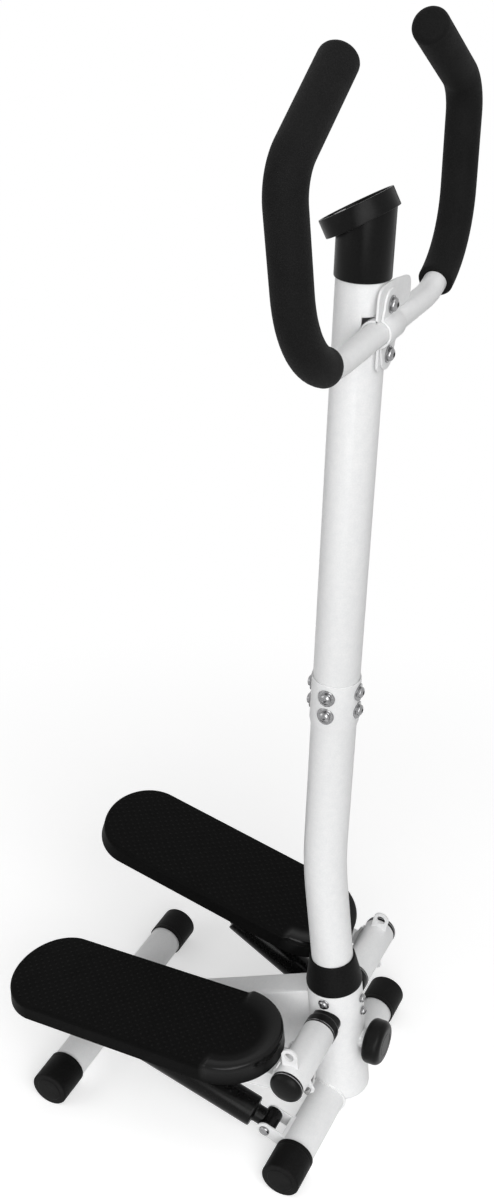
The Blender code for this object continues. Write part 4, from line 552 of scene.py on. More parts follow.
# %% Plates and boxes
def plate(name, outline, low, high, along="X", ease=0.0):
    """A flat piece from low to high along an axis, with both its rims eased."""
    piece = new_circle(name, len(outline), 1.0, True)
    axis = "XYZ".index(along)
    first = low + ease
    for point, (a, b) in zip(piece.data.vertices, outline):
        point.co = {"X": (first, a, b), "Y": (a, first, b), "Z": (a, b, first)}[along]
    step = [0.0, 0.0, 0.0]
    step[axis] = high - low - 2 * ease
    open_edit(piece)
    bpy.ops.mesh.extrude_region_move(TRANSFORM_OT_translate={"value": step})
    face_out(piece)
    if ease:
        open_edit(piece)
        bpy.ops.mesh.select_all(action="DESELECT")
        bpy.ops.mesh.select_mode(type="FACE")
        bpy.ops.object.mode_set(mode="OBJECT")
        for face in piece.data.polygons:
            face.select = abs(face.normal[axis]) > 0.99
        bpy.ops.object.mode_set(mode="EDIT")
        bpy.ops.mesh.inset(thickness=ease, depth=ease)
        bpy.ops.mesh.select_mode(type="VERT")
        bpy.ops.object.mode_set(mode="OBJECT")
    return piece


def boxed(name, low, high):
    deselect()
    bpy.ops.mesh.primitive_cube_add(size=1.0)
    piece = bpy.context.object
    piece.name = name
    middle = (Vector(low) + Vector(high)) / 2
    size = Vector(high) - Vector(low)
    return placed(piece, Matrix.Translation(middle) @ Matrix.Diagonal((*size, 1.0)))


print("plates ready")

# %% [markdown]
# Holes, slots and welded joints are cut and joined as in the workshop. The faces round a hole could
# be laid by hand, but a Boolean modifier finds the meeting line itself. A small Bevel modifier
# then eases the edges that are left sharp. Both are applied at once.

# %% Cutting, joining and softening
def combined(piece, tool, operation="DIFFERENCE"):
    choose(piece)
    change = piece.modifiers.new("change", "BOOLEAN")
    change.operation = operation
    change.solver = "EXACT"
    change.object = tool
    bpy.ops.object.modifier_apply(modifier=change.name)
    bpy.data.objects.remove(tool, do_unlink=True)
    return piece


def drilled(piece, radius, low, high, place, sides=32):
    """Cut a straight round hole along the place's Z."""
    return combined(piece, placed(turned("drill", [(radius, low), (radius, high)], sides=sides), place))


def softened(piece, width, segments=2):
    choose(piece)
    change = piece.modifiers.new("soft", "BEVEL")
    change.width = width
    change.segments = segments
    change.limit_method = "ANGLE"
    change.angle_limit = math.radians(40)
    change.harden_normals = False
    bpy.ops.object.modifier_apply(modifier=change.name)
    return piece


print("modifiers ready")

# %% [markdown]
# A finished piece is shaded smooth but for its real edges, gets its finish, and rides with the body
# of the node that it stands for. The node's plain solid then steps back, unless the piece is only
# an addition to it, such as a weld.

# %% The last step of every piece
def finished(piece, node, finish=None, replace=True, angle=32):
    choose(piece)
    bpy.ops.object.shade_smooth_by_angle(angle=math.radians(angle))
    piece.data.materials.clear()
    piece.data.materials.append(finish or FINISH[SLOTS[node]])
    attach(piece, BODY_OF[node])
    if replace:
        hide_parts(node)
    print(piece.name, "faces", len(piece.data.polygons))
    return piece


GAP = 0.0003
print("pieces that touch keep a gap of", GAP)

# %% [markdown]
# The stepper stands on two white pipes, one in front and one at the rear. A filled cylinder would
# look the same with its caps on, but the real pipe is open, so each is turned as a ring with a wall.

# %% Floor tubes
PIPE_WALL = 0.002
PIPE_EASE = 0.0005


def pipe_ring(radius, wall, low, high):
    """The section of an open pipe, with its mouths eased."""
    outline = [(radius - wall, low), (radius, low), (radius, high), (radius - wall, high)]
    return eased(outline, PIPE_EASE, 2, ring=True)


def floor_tube(name, node, y):
    low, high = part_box(node)
    half = (high.x - low.x) / 2
    pipe = turned(name, pipe_ring(TUBE_RADIUS, PIPE_WALL, -half, half), ring=True)
    return finished(placed(pipe, shifted(0, y, TUBE_Z) @ ALONG_X), node)


floor_tube("front_pipe", "front_floor_tube", FRONT_Y)
floor_tube("rear_pipe", "rear_floor_tube", REAR_Y)

# %% [markdown]
# Black rubber cups close the pipes and stand on the floor. Each has a raised disc on its end, a
# rounded rim and a fine groove near its mouth. The flat foot could be a Boolean with a box. A bisect
# is simpler: it cuts along the floor and fills the cut.

# %% Foot caps
CAP_RADIUS = 0.0275
CAP_LENGTH = 0.050
CAP_END = 0.004
CAP_DISC = CAP_RADIUS * 0.66
CAP_DISC_RISE = 0.0008
CAP_EASE = 0.0022
GROOVE_START = 0.0420
GROOVE_WIDTH = 0.0016
GROOVE_DEPTH = 0.0003
BASE_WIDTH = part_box("front_left_foot_cap")[1].x * 2


def groove(radius, start):
    """Points of a shallow groove round a turned piece."""
    floor_radius = radius - GROOVE_DEPTH
    slope = GROOVE_WIDTH / 4
    return [(radius, start), (floor_radius, start + slope), (floor_radius, start + 3 * slope),
            (radius, start + GROOVE_WIDTH)]


def foot_cap(name, node, side, y):
    inner = TUBE_RADIUS + GAP
    outline = [(CAP_DISC * 0.5, 0.0), (CAP_DISC, 0.0), (CAP_DISC + 0.0006, CAP_DISC_RISE),
               (CAP_RADIUS, CAP_DISC_RISE)] + groove(CAP_RADIUS, GROOVE_START)
    outline += [(CAP_RADIUS, CAP_LENGTH), (inner, CAP_LENGTH), (inner, CAP_END), (inner * 0.5, CAP_END)]
    cap = turned(name, eased(outline, CAP_EASE, 4))
    placed(cap, shifted(side * BASE_WIDTH / 2, y, TUBE_Z) @ rotated(-side * math.pi / 2, "Y"))
    open_edit(cap)
    bpy.ops.mesh.bisect(plane_co=(0, 0, 0), plane_no=(0, 0, -1), use_fill=True, clear_outer=True)
    return finished(face_out(cap), node)


for end_name, end_y in (("front", FRONT_Y), ("rear", REAR_Y)):
    for side_name, side_sign in SIDES:
        foot_cap(f"{end_name}_{side_name}_rubber_cup", f"{end_name}_{side_name}_foot_cap", side_sign, end_y)

# %% [markdown]
# The hub is a stout pipe that leans five degrees to the rear and sits over the front tube. It could
# be a cylinder hollowed by a Boolean. Turned as one cup, outside first and then down the inside, it
# keeps an even wall. The front tube, the knob's spindle and the cable then pass through drilled holes.

# %% Hub
HUB_LEAN = math.radians(5.0)
HUB_RADIUS = 0.0385
HUB_WALL = 0.003
HUB_TOP = 0.044
HUB_LOW = -0.1525
HUB_CORNER = 0.012
KNOB_HEIGHT = 0.127
KNOB_STANDOFF = 0.0065
BOSS_RADIUS = 0.014
BOSS_ROOT = 0.004
SPINDLE_BORE = 0.0054
CABLE_WINDOW = 0.0068
CABLE_HEIGHT = 0.1435
THROUGH = 0.06
axle_place = shifted(0, AXLE_Y, AXLE_Z)
hub_place = axle_place @ rotated(-HUB_LEAN, "X")


def lean_y(height):
    return AXLE_Y + (height - AXLE_Z) * math.tan(HUB_LEAN)


def hub_front(height):
    return lean_y(height) - HUB_RADIUS / math.cos(HUB_LEAN)


def floor_tube_cut(piece, x, y, reach=THROUGH):
    """Fit a piece to a floor tube."""
    return drilled(piece, TUBE_RADIUS + GAP, -reach, reach, shifted(x, y, TUBE_Z) @ ALONG_X, 96)


def make_hub():
    inner = HUB_RADIUS - HUB_WALL
    foot = arc((HUB_RADIUS - HUB_CORNER, HUB_LOW + HUB_CORNER), HUB_CORNER, -90, 10, 10)
    rim = eased([foot[-1], (HUB_RADIUS, HUB_TOP), (inner, HUB_TOP), (inner, HUB_LOW + HUB_CORNER)], 0.0008)
    hub = turned("hub_pipe", foot + rim[1:] + [(inner - 0.008, HUB_LOW + 0.004)], sides=96)
    placed(hub, hub_place)
    front = hub_front(KNOB_HEIGHT)
    root = front + BOSS_ROOT
    reach = front - KNOB_STANDOFF + GAP
    knob_line = shifted(0, 0, KNOB_HEIGHT) @ ALONG_Y
    outline = [(0.006, reach), (BOSS_RADIUS, reach), (BOSS_RADIUS, root), (BOSS_RADIUS * 0.5, root)]
    combined(hub, placed(turned("boss", eased(outline, 0.0014)), knob_line), "UNION")
    floor_tube_cut(hub, 0, FRONT_Y)
    drilled(hub, SPINDLE_BORE, front - THROUGH / 2, front + THROUGH / 2, knob_line)
    cable_y = (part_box("left_cable_end")[0].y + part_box("right_cable_end")[1].y) / 2
    drilled(hub, CABLE_WINDOW, -THROUGH, THROUGH, shifted(0, cable_y, CABLE_HEIGHT) @ ALONG_X)
    return finished(hub, "hub")


make_hub()

# %% [markdown]
# Where steel meets steel the real frame is welded, and the paint lies over a lumpy bead. A bump in
# the paint would vanish at the outline, so a bead is a thin tube drawn along the joint, whose
# thickness changes a little from point to point.

# %% Weld beads
BEAD_RADIUS = 0.0021
BEAD_LIFT = 0.0006
BEAD_HIGH_LIFT = 0.0008


def weld_bead(name, points, node, closed=False, radius=BEAD_RADIUS):
    curve = bpy.data.curves.new(name, "CURVE")
    curve.dimensions = "3D"
    curve.bevel_depth = radius
    curve.bevel_resolution = 2
    curve.use_fill_caps = True
    line = curve.splines.new("POLY")
    line.points.add(len(points) - 1)
    for k, (mark, point) in enumerate(zip(line.points, points)):
        mark.co = (*point, 1.0)
        mark.radius = 0.85 + 0.15 * math.sin(k * 2.1) + 0.08 * math.sin(k * 5.3)
    line.use_cyclic_u = closed
    bead = bpy.data.objects.new(name, curve)
    bpy.context.scene.collection.objects.link(bead)
    choose(bead)
    bpy.ops.object.convert(target="MESH")
    return finished(bpy.context.object, node, replace=False, angle=60)


def hub_weld(name, side):
    """Where the front tube leaves the hub: a circle bent to the hub's round wall."""
    points = []
    for y, z in arc((FRONT_Y, TUBE_Z), TUBE_RADIUS + BEAD_LIFT, 0, 4, 90):
        across = (y - lean_y(z)) * math.cos(HUB_LEAN)
        points.append((side * math.sqrt(HUB_RADIUS ** 2 - across ** 2), y, max(z, BEAD_RADIUS)))
    weld_bead(name, points, "hub", closed=True)


for side_name, side_sign in SIDES:
    hub_weld(f"hub_weld_{side_name}", side_sign)

# %% [markdown]
# The spine is a folded channel, open below, that runs from the hub down to the rear tube. It could be
# folded from a sheet. It is quicker to give the side view its width, hollow it from below, and fit
# it to the round pieces that it meets.

# %% Spine
SPINE_HALF = 0.0215
SPINE_WALL = 0.0025
SPINE_TOP_Z = 0.2033
SPINE_TOP_Y = FRONT_Y + 0.036
SPINE_TILT = math.radians(25.5)
SPINE_FALL = math.tan(SPINE_TILT)
SPINE_FOOT = 0.023
SPINE_LOW = 0.05
SPINE_BEAD = 0.0018
SPINE_BEAD_LIFT = 0.001
PAST_END = 0.02
HUB_SEAT = (HUB_LOW - 0.001, 0.10)


def make_spine():
    front_y = lean_y(SPINE_LOW)
    front_top = SPINE_TOP_Z + SPINE_FALL * (SPINE_TOP_Y - front_y)
    rear_top = SPINE_TOP_Z - SPINE_FALL * (REAR_Y - SPINE_TOP_Y)
    side_view = [(front_y, SPINE_LOW), (REAR_Y, SPINE_FOOT), (REAR_Y, rear_top), (front_y, front_top)]
    spine = plate("spine_channel", side_view, -SPINE_HALF, SPINE_HALF)
    softened(spine, 0.0018, segments=3)
    drop = SPINE_WALL / math.cos(SPINE_TILT)
    wide = SPINE_HALF - SPINE_WALL
    front_end = front_y - PAST_END
    rear_end = REAR_Y + PAST_END
    room = [(front_end, -PAST_END), (rear_end, -PAST_END),
            (rear_end, rear_top - SPINE_FALL * PAST_END - drop),
            (front_end, front_top + SPINE_FALL * PAST_END - drop)]
    combined(spine, plate("hollow", room, -wide, wide))
    drilled(spine, HUB_RADIUS + GAP, *HUB_SEAT, hub_place, 96)
    for y in (FRONT_Y, REAR_Y):
        floor_tube_cut(spine, 0, y)
    return finished(spine, "spine")


def spine_weld():
    """Up one side of the spine, across the top of the rear tube and down the other side."""
    radius = TUBE_RADIUS + SPINE_BEAD_LIFT
    edge = SPINE_HALF + SPINE_BEAD_LIFT
    stations = [(-edge, k * 6) for k in range(16)]
    stations += [(-SPINE_HALF + SPINE_HALF * 2 * k / 12, 93) for k in range(13)]
    stations += [(edge, 90 - k * 6) for k in range(16)]
    points = []
    for x, degrees in stations:
        a = math.radians(degrees)
        points.append((x, REAR_Y - radius * math.cos(a), TUBE_Z + radius * math.sin(a)))
    weld_bead("spine_weld", points, "spine", radius=SPINE_BEAD)


make_spine()
spine_weld()

# %% [markdown]
# Each cylinder stands in a small fork behind the front tube: two ears on a web, rounded about the
# pin. The ears could be two plates with a bar between them. One thick plate with a slot cut in it
# has the web ready, and its slot leaves even ears.

# %% Clevises
ARM_X = 0.125
CLEVIS_Y = FRONT_Y + 0.0488
CLEVIS_Z = 0.0438
CLEVIS_HALF = 0.0155
CLEVIS_SHEET = 0.003
CLEVIS_WEB = 0.0035
CLEVIS_BEAD = 0.0016
PAST_EARS = 0.03
PAST_WEB = 0.04
EAR_RADIUS = 0.0118
PIN_RADIUS = 0.004
CLEVIS_REACH = math.hypot(CLEVIS_Y - FRONT_Y, CLEVIS_Z - TUBE_Z)
CLEVIS_RISE = math.atan2(CLEVIS_Z - TUBE_Z, CLEVIS_Y - FRONT_Y)


def make_clevis(name, node, side):
    x = side * ARM_X
    wide = CLEVIS_HALF + CLEVIS_SHEET
    outline = [(0.0, -EAR_RADIUS)] + arc((CLEVIS_REACH, 0), EAR_RADIUS, -90, 10, 19) + [(0.0, EAR_RADIUS)]
    fork = plate(name, outline, -wide, wide)
    combined(fork, boxed("slot", (-CLEVIS_HALF, TUBE_RADIUS + CLEVIS_WEB, -PAST_EARS),
                         (CLEVIS_HALF, CLEVIS_REACH + PAST_EARS, PAST_EARS)))
    softened(fork, 0.0006)
    placed(fork, shifted(x, FRONT_Y, TUBE_Z) @ rotated(CLEVIS_RISE, "X"))
    floor_tube_cut(fork, x, FRONT_Y, PAST_WEB)
    drilled(fork, PIN_RADIUS + GAP, -PAST_EARS, PAST_EARS, shifted(x, CLEVIS_Y, CLEVIS_Z) @ ALONG_X)
    finished(fork, node)
    away = wide + BEAD_HIGH_LIFT
    lowest = math.degrees(CLEVIS_RISE) - 26
    for edge, way in (("inner", -1), ("outer", 1)):
        curved = arc((FRONT_Y, TUBE_Z), TUBE_RADIUS + BEAD_HIGH_LIFT, lowest, 4, 14)
        points = [(x + way * side * away, y, z) for y, z in curved]
        weld_bead(f"{name}_weld_{edge}", points, node, radius=CLEVIS_BEAD)


for side_name, side_sign in SIDES:
    make_clevis(f"{side_name}_fork", f"{side_name}_clevis", side_sign)

# %% [markdown]
# A tapered rubber collar closes the hub's mouth round the post. It has a skirt that hides in the
# hub, so it is turned as a ring from one section. A plain cone would leave the mouth open.

# %% Collar
POST_RADIUS = 0.0287
COLLAR_SKIRT = 0.024
COLLAR_LIP = 0.005
COLLAR_OVERHANG = 0.0006
COLLAR_HEIGHT = 0.046
COLLAR_TOP_RADIUS = 0.0318
COLLAR_TOP_EDGE = 0.0306


def make_collar():
    low = HUB_TOP + GAP
    inner = POST_RADIUS + GAP
    skirt = HUB_RADIUS - HUB_WALL - GAP
    lip = HUB_RADIUS + COLLAR_OVERHANG
    outline = [(inner, low - COLLAR_SKIRT), (skirt, low - COLLAR_SKIRT), (skirt, low), (lip, low),
               (lip, low + COLLAR_LIP), (COLLAR_TOP_RADIUS, low + COLLAR_HEIGHT - 0.0015),
               (COLLAR_TOP_EDGE, low + COLLAR_HEIGHT), (inner, low + COLLAR_HEIGHT)]
    collar = turned("post_boot", eased(outline, 0.0012, 3, ring=True), ring=True)
    return finished(placed(collar, hub_place), "post_collar")


make_collar()

# %% [markdown]
# The lower post leans with the hub, bends softly upright, and widens at its top into a cup. The cup
# could be a second pipe. The bender can change the radius, so it draws up the outside, turns over
# the rim and comes down the bore in one go.

# %% Lower post
UPPER_RADIUS = 0.029
UPPER_LEAN = math.radians(-2.38)
BEND_Z = 0.421
BEND_RUN = 0.040
POST_START = 0.016
CUP_WALL = 0.0014
CUP_TOP = 0.7175
CUP_DEPTH = 0.062
CUP_TAPER = 0.009
CUP_RIM = 0.0005
RIM_STEP = 0.0004
CUP_END = 0.002


def upper_y(height):
    return lean_y(BEND_Z) + (height - BEND_Z) * math.tan(UPPER_LEAN)


def make_lower_post():
    heading = Vector((0, math.sin(HUB_LEAN), math.cos(HUB_LEAN)))
    start = Vector((0, AXLE_Y, AXLE_Z)) + heading * POST_START
    run = BEND_RUN / math.cos(HUB_LEAN)
    to_bend = (BEND_Z - start.z) / math.cos(HUB_LEAN) - run
    turn = HUB_LEAN - UPPER_LEAN
    to_cup = (CUP_TOP - CUP_DEPTH - CUP_TAPER - BEND_Z) / math.cos(UPPER_LEAN) - run
    bore = UPPER_RADIUS + GAP
    cup = bore + CUP_WALL
    steps = [("run", to_bend, POST_RADIUS), ("bend", turn, run / math.tan(turn / 2)),
             ("run", to_cup, POST_RADIUS), ("run", CUP_TAPER / 2, (POST_RADIUS + cup) / 2),
             ("run", CUP_TAPER / 2, cup), ("run", CUP_DEPTH - CUP_RIM, cup), ("run", CUP_RIM, cup - RIM_STEP),
             ("run", 0.0, bore + GAP), ("run", -RIM_STEP, bore), ("run", -CUP_DEPTH + CUP_END, bore)]
    post = drawn("lower_post_pipe", POST_RADIUS, start, heading, (1, 0, 0), steps, sides=ROUND)
    return finished(post, "lower_post")


make_lower_post()

# %% [markdown]
# The upper post carries the handlebar, and a notch is cut in its front for the bar. The notch could
# be cut by hand in the faces, but it follows the clamp's own frame, so a Boolean with a box that is
# placed by that frame is exact.

# %% Upper post
BAR_Z = 1.16
BAR_Y = upper_y(BAR_Z) - 0.028
BAR_RADIUS = 0.0137
SHEET = 0.0025
SEAT = BAR_RADIUS + GAP
POST_TOP = 1.236
POST_SINK = 0.003
NOTCH_HALF = 0.04
NOTCH_FRONT = -0.05
clamp_place = shifted(0, BAR_Y, BAR_Z) @ rotated(-UPPER_LEAN, "X")


def make_upper_post():
    low = CUP_TOP - CUP_DEPTH + POST_SINK
    length = (POST_TOP - low) / math.cos(UPPER_LEAN)
    post = turned("upper_post_pipe", pipe_ring(UPPER_RADIUS, PIPE_WALL, 0, length), sides=96, ring=True)
    placed(post, shifted(0, upper_y(low), low) @ rotated(-UPPER_LEAN, "X"))
    reach = SEAT + SHEET
    notch = boxed("notch", (-NOTCH_HALF, NOTCH_FRONT, -reach), (NOTCH_HALF, reach, reach))
    combined(post, placed(notch, clamp_place))
    return finished(post, "upper_post")


make_upper_post()

# %% [markdown]
# In the notch a half shell is welded for the bar, between two lobes of plate. The left lobe reaches
# further. Shell and lobes could be joined into one mesh, but a union of such thin plates leaves
# slivers, so each stays a piece of its own that rides with the post.

# %% Saddle
SADDLE_RIGHT = 0.030
SADDLE_LEFT = 0.064
SADDLE_RISE = 0.0505
SADDLE_END_RISE = 0.042
SADDLE_SHOULDER = 0.010
SADDLE_DROP = 0.044
SADDLE_ROUND = 0.018
SADDLE_FOOT_ROUND = 0.012
SADDLE_CLEAR = 0.0005
LOBE_SINK = 0.0004
SADDLE_SHELL_END = SADDLE_LEFT - 0.018
STRAP_HALF = 0.022
PLATE_BACK = (upper_y(BAR_Z) - BAR_Y) * math.cos(UPPER_LEAN) - UPPER_RADIUS
PLATE_FRONT = PLATE_BACK - SHEET


def shell(name, limit, front, low, high):
    """Half a ring round the bar, in front of or behind a plane."""
    outline = []
    for radius, way in ((SEAT + SHEET, 1), (SEAT, -1)):
        edge = math.acos(limit / radius)
        first, last = (edge, 2 * math.pi - edge) if front else (-edge, edge)
        angles = [first + (last - first) * k / 30 for k in range(31)]
        outline += [(radius * math.cos(a), radius * math.sin(a)) for a in angles[::way]]
    return plate(name, outline, low, high)


def make_saddle():
    half = shell("saddle_shell", PLATE_FRONT, False, -SADDLE_RIGHT, SADDLE_SHELL_END)
    edge = SEAT + SADDLE_CLEAR
    r, s = SADDLE_ROUND, SADDLE_FOOT_ROUND
    upper = [(-SADDLE_RIGHT, edge), (SADDLE_LEFT, edge), (SADDLE_LEFT, SADDLE_END_RISE),
             (SADDLE_SHOULDER, SADDLE_RISE), (-SADDLE_RIGHT, SADDLE_RISE)]
    lower = [(-STRAP_HALF, -SADDLE_DROP), (STRAP_HALF, -SADDLE_DROP), (STRAP_HALF, -edge),
             (-STRAP_HALF, -edge)]
    lobes = (("saddle_upper_lobe", upper, (0, s, r, r, r)),
             ("saddle_lower_lobe", lower, (s, s, 0, 0)))
    pieces = [half] + [plate(name, rounded(points, radii), PLATE_FRONT, PLATE_BACK + LOBE_SINK, "Y", 0.0005)
                       for name, points, radii in lobes]
    for piece in pieces:
        finished(placed(piece, clamp_place), "upper_post", replace=False)


make_saddle()

# %% [markdown]
# The clamp strap wraps the front of the bar between two round ears. It is pressed from one sheet. Here
# the half shell and the ears are made apart, joined, and drilled for the bolts, as that keeps the
# sheet's even thickness.

# %% Clamp strap
STRAP_EAR = 0.017
BOLT_RISE = 0.0272
BOLT_BORE = 0.0041
BOLT_DRILL = (-0.03, 0.02)
EAR_FOOT = SEAT + 0.001


def make_strap():
    back_y = PLATE_FRONT - GAP
    strap = shell("clamp_band", back_y, True, -STRAP_HALF, STRAP_HALF)
    softened(strap, 0.0005)
    for way in (1, -1):
        foot = way * EAR_FOOT
        ear = arc((0, way * BOLT_RISE), STRAP_EAR, 0, way * 9, 21) + [(-STRAP_HALF, foot), (STRAP_HALF, foot)]
        combined(strap, plate("ear", ear, back_y - SHEET, back_y, "Y", 0.0004), "UNION")
    for way in (1, -1):
        drilled(strap, BOLT_BORE, *BOLT_DRILL, shifted(0, 0, way * BOLT_RISE) @ ALONG_Y)
    return finished(placed(strap, clamp_place), "clamp_strap")


make_strap()

# %% [markdown]
# All screws are button heads with a hexagon socket, on dished washers. A thread would never be seen,
# so one maker draws shank, washer and head with the lathe, and drills the socket with a drill that
# has six sides. Round the cup, the washers are bent to the tube that they lie on.

# %% A screw
SCREW_RADIUS = 0.003
HEAD_RADIUS = 0.007
HEAD_RISE = 0.0055
WASHER_RADIUS = 0.0112
HUB_WASHER = 0.0080
CLAMP_WASHER = 0.0095
SMALL_WASHER = 0.0063
WASHER_RISE = 0.0014
WASHER_DISH = WASHER_RISE * 0.62
SOCKET_SHARE = 0.42


def screw(name, depth, head, rise, washer, bend=0.0, shank=SCREW_RADIUS):
    """A screw along Z: its shank below zero, a washer and a domed head with a socket above."""
    dome = arc((0, WASHER_RISE + rise * 0.30), head, 0, 12, 7, rise * 0.70)
    outline = [(shank * 0.7, -depth), (shank, -depth + 0.0008), (shank, 0.0), (washer * 0.88, 0.0),
               (washer, 0.0), (washer, WASHER_RISE * 0.7), (washer - 0.0005, WASHER_RISE),
               (head + 0.0006, WASHER_DISH), (head, WASHER_DISH)] + dome
    made = turned(name, outline, sides=40)
    drilled(made, head * SOCKET_SHARE, WASHER_RISE + rise * 0.45, WASHER_RISE + rise * 1.2, Matrix(), 6)
    if bend:
        for point in made.data.vertices:
            if point.co.z > -0.0001 and point.co.xy.length > head + 0.0003:
                point.co.z -= bend - math.sqrt(bend ** 2 - point.co.y ** 2)
    return made


print("screw maker ready")

# %% [markdown]
# Eight screws hold the upper post in the cup, two above each other on four sides. They could be
# placed one by one, but quarter turns of one place keep them in line.

# %% Coupling screws
COUPLING_HEIGHTS = (0.7005, 0.6745)
COUPLING_DEPTH = 0.0065
COUPLING_SEAT = UPPER_RADIUS + GAP + CUP_WALL + 1.7 * GAP


def make_coupling_screws():
    number = 0
    for height in COUPLING_HEIGHTS:
        for quarter in range(4):
            number += 1
            made = screw(f"cup_screw_{number}", COUPLING_DEPTH, HEAD_RADIUS, HEAD_RISE * 0.8, WASHER_RADIUS,
                         bend=COUPLING_SEAT)
            place = shifted(0, upper_y(height), height) @ rotated(quarter * math.pi / 2, "Z")
            finished(placed(made, place @ shifted(COUPLING_SEAT, 0, 0) @ ALONG_X), f"coupling_screw_{number}")


make_coupling_screws()

# %% [markdown]
# Two screws hold the post from the hub's sides and two from its front, and two bolts close the
# clamp. The front ones stand off by the hub's slope across the washer, which would else cut into
# the pipe. Sinking the washer instead would hide its rim.

# %% Hub screws and clamp bolts
HUB_SCREW_HEIGHT = 0.206
HUB_SCREW_DEPTH = 0.0138
POST_SCREW_HEIGHT = 0.2005
LOCK_SCREW_HEIGHT = 0.178
LOCK_SCREW_DEPTH = 0.0273
BOLT_DEPTH = 0.018
BOLT_HEAD = 0.0074
BOLT_HEAD_RISE = 0.0058
BOLT_SHANK = 0.0038
TO_FRONT = rotated(math.pi / 2, "X")


def make_hub_screws():
    rise = HEAD_RISE * 0.8
    for side_name, side in SIDES:
        made = screw(f"hub_screw_{side_name}", HUB_SCREW_DEPTH, HEAD_RADIUS * 0.9, rise, HUB_WASHER)
        place = shifted(side * (HUB_RADIUS + GAP), lean_y(HUB_SCREW_HEIGHT), HUB_SCREW_HEIGHT)
        finished(placed(made, place @ rotated(side * math.pi / 2, "Y")), f"hub_side_screw_{side_name}")
    for name, node, height, depth in (
            ("post_front_screw", "hub_front_screw", POST_SCREW_HEIGHT, HUB_SCREW_DEPTH),
            ("axle_front_screw", "axle_lock_screw", LOCK_SCREW_HEIGHT, LOCK_SCREW_DEPTH)):
        made = screw(name, depth, HEAD_RADIUS * 0.8, rise, SMALL_WASHER)
        stand_off = SMALL_WASHER * math.tan(HUB_LEAN)
        finished(placed(made, shifted(0, hub_front(height) - GAP - stand_off, height) @ TO_FRONT), node)


def make_clamp_bolts():
    for level_name, rise in (("upper", BOLT_RISE), ("lower", -BOLT_RISE)):
        made = screw(f"bolt_{level_name}", BOLT_DEPTH, BOLT_HEAD, BOLT_HEAD_RISE, CLAMP_WASHER,
                     shank=BOLT_SHANK)
        place = clamp_place @ shifted(0, PLATE_FRONT - SHEET - 2 * GAP, rise)
        finished(placed(made, place @ TO_FRONT), f"clamp_bolt_{level_name}")


make_hub_screws()
make_clamp_bolts()

# %% [markdown]
# The handlebar is one pipe, bent four times in a plane: out from the clamp, up both sides, and in at
# the top. Both halves could be drawn. The pipe bender draws the left one, and a Mirror modifier adds
# the right, so the two can't differ.

# %% Handlebar
BAR_LEAN = math.radians(1.34)
SIDE_SLOPE = math.radians(83.03)
LOWER_BEND = 0.1113
SIDE_BASE = 0.2143
KNEE = Vector((0.2395, 0.2062))
KNEE_CUT = 0.030
TIP_TURN = math.radians(65.2)
TIP_RUN = 0.120
GRIP_TIP_WALL = 0.0083
MERGE_DISTANCE = 0.00001
bar_place = shifted(0, BAR_Y, BAR_Z) @ rotated(-BAR_LEAN, "X")
knee_bend = KNEE_CUT / math.tan(TIP_TURN / 2)
lower_cut = LOWER_BEND * math.tan(SIDE_SLOPE / 2)
side_run = (KNEE - Vector((SIDE_BASE, 0))).length - lower_cut - KNEE_CUT
middle_half = SIDE_BASE - lower_cut


def side_steps(bend, radius, tip_run):
    """The lower bend, the run up the side, the knee, and the run to the tip."""
    return [("bend", -bend, -LOWER_BEND), ("run", side_run, radius), ("bend", -TIP_TURN, -knee_bend),
            ("run", tip_run, radius)]


def make_bar():
    half = [("run", middle_half, BAR_RADIUS)] + side_steps(SIDE_SLOPE, BAR_RADIUS, TIP_RUN - GRIP_TIP_WALL)
    bar = drawn("bar_pipe", BAR_RADIUS, (0, 0, 0), (1, 0, 0), (0, 1, 0), half)
    choose(bar)
    mirror = bar.modifiers.new("mirror", "MIRROR")
    mirror.use_bisect_axis[0] = True
    mirror.use_mirror_merge = True
    mirror.merge_threshold = MERGE_DISTANCE
    bpy.ops.object.modifier_apply(modifier=mirror.name)
    return finished(placed(face_out(bar), bar_place), "handlebar_tube")


make_bar()

# %% [markdown]
# A foam sleeve covers each side from the lower bend to the tip. It could be the bar's mesh made
# fatter, but then its mouth and its round tip would be missing. So it is drawn along the same bends,
# with an eased mouth first and a quarter circle of short runs for the tip.

# %% Grips
GRIP_RADIUS = 0.0204
GRIP_START = math.radians(21.5)
GRIP_DOME = 0.009
GRIP_MOUTH = [("run", -0.0004, GRIP_RADIUS - 0.0022), ("run", 0.0008, GRIP_RADIUS - 0.0008),
              ("run", 0.0016, GRIP_RADIUS)]


def grip_tip():
    runs = []
    before = 0.0
    for a in (math.radians(k * 15) for k in range(1, 7)):
        runs.append(("run", GRIP_DOME * (math.sin(a) - before), GRIP_RADIUS - GRIP_DOME * (1 - math.cos(a))))
        before = math.sin(a)
    return runs


def make_grip(name, node, side):
    start = (middle_half + LOWER_BEND * math.sin(GRIP_START), 0, LOWER_BEND * (1 - math.cos(GRIP_START)))
    heading = (math.cos(GRIP_START), 0, math.sin(GRIP_START))
    sleeve = side_steps(SIDE_SLOPE - GRIP_START, GRIP_RADIUS, TIP_RUN - GRIP_DOME)
    steps = GRIP_MOUTH + sleeve + grip_tip()
    grip = drawn(name, BAR_RADIUS + GAP, start, heading, (0, 1, 0), steps, sides=56)
    if side < 0:
        open_edit(grip)
        bpy.ops.transform.mirror(constraint_axis=(True, False, False), center_override=(0, 0, 0))
        face_out(grip)
    finished(placed(grip, bar_place), node, angle=50)


for side_name, side_sign in SIDES:
    make_grip(f"{side_name}_foam_sleeve", f"{side_name}_grip", side_sign)

# %% [markdown]
# The monitor's shell is a moulded sleeve over the post's top with a tilted round cup. Sleeve and cup
# could be one lathe piece only if they shared an axis. They don't, so two turned pieces are joined,
# after a box has cut off what would stand up inside the cup.

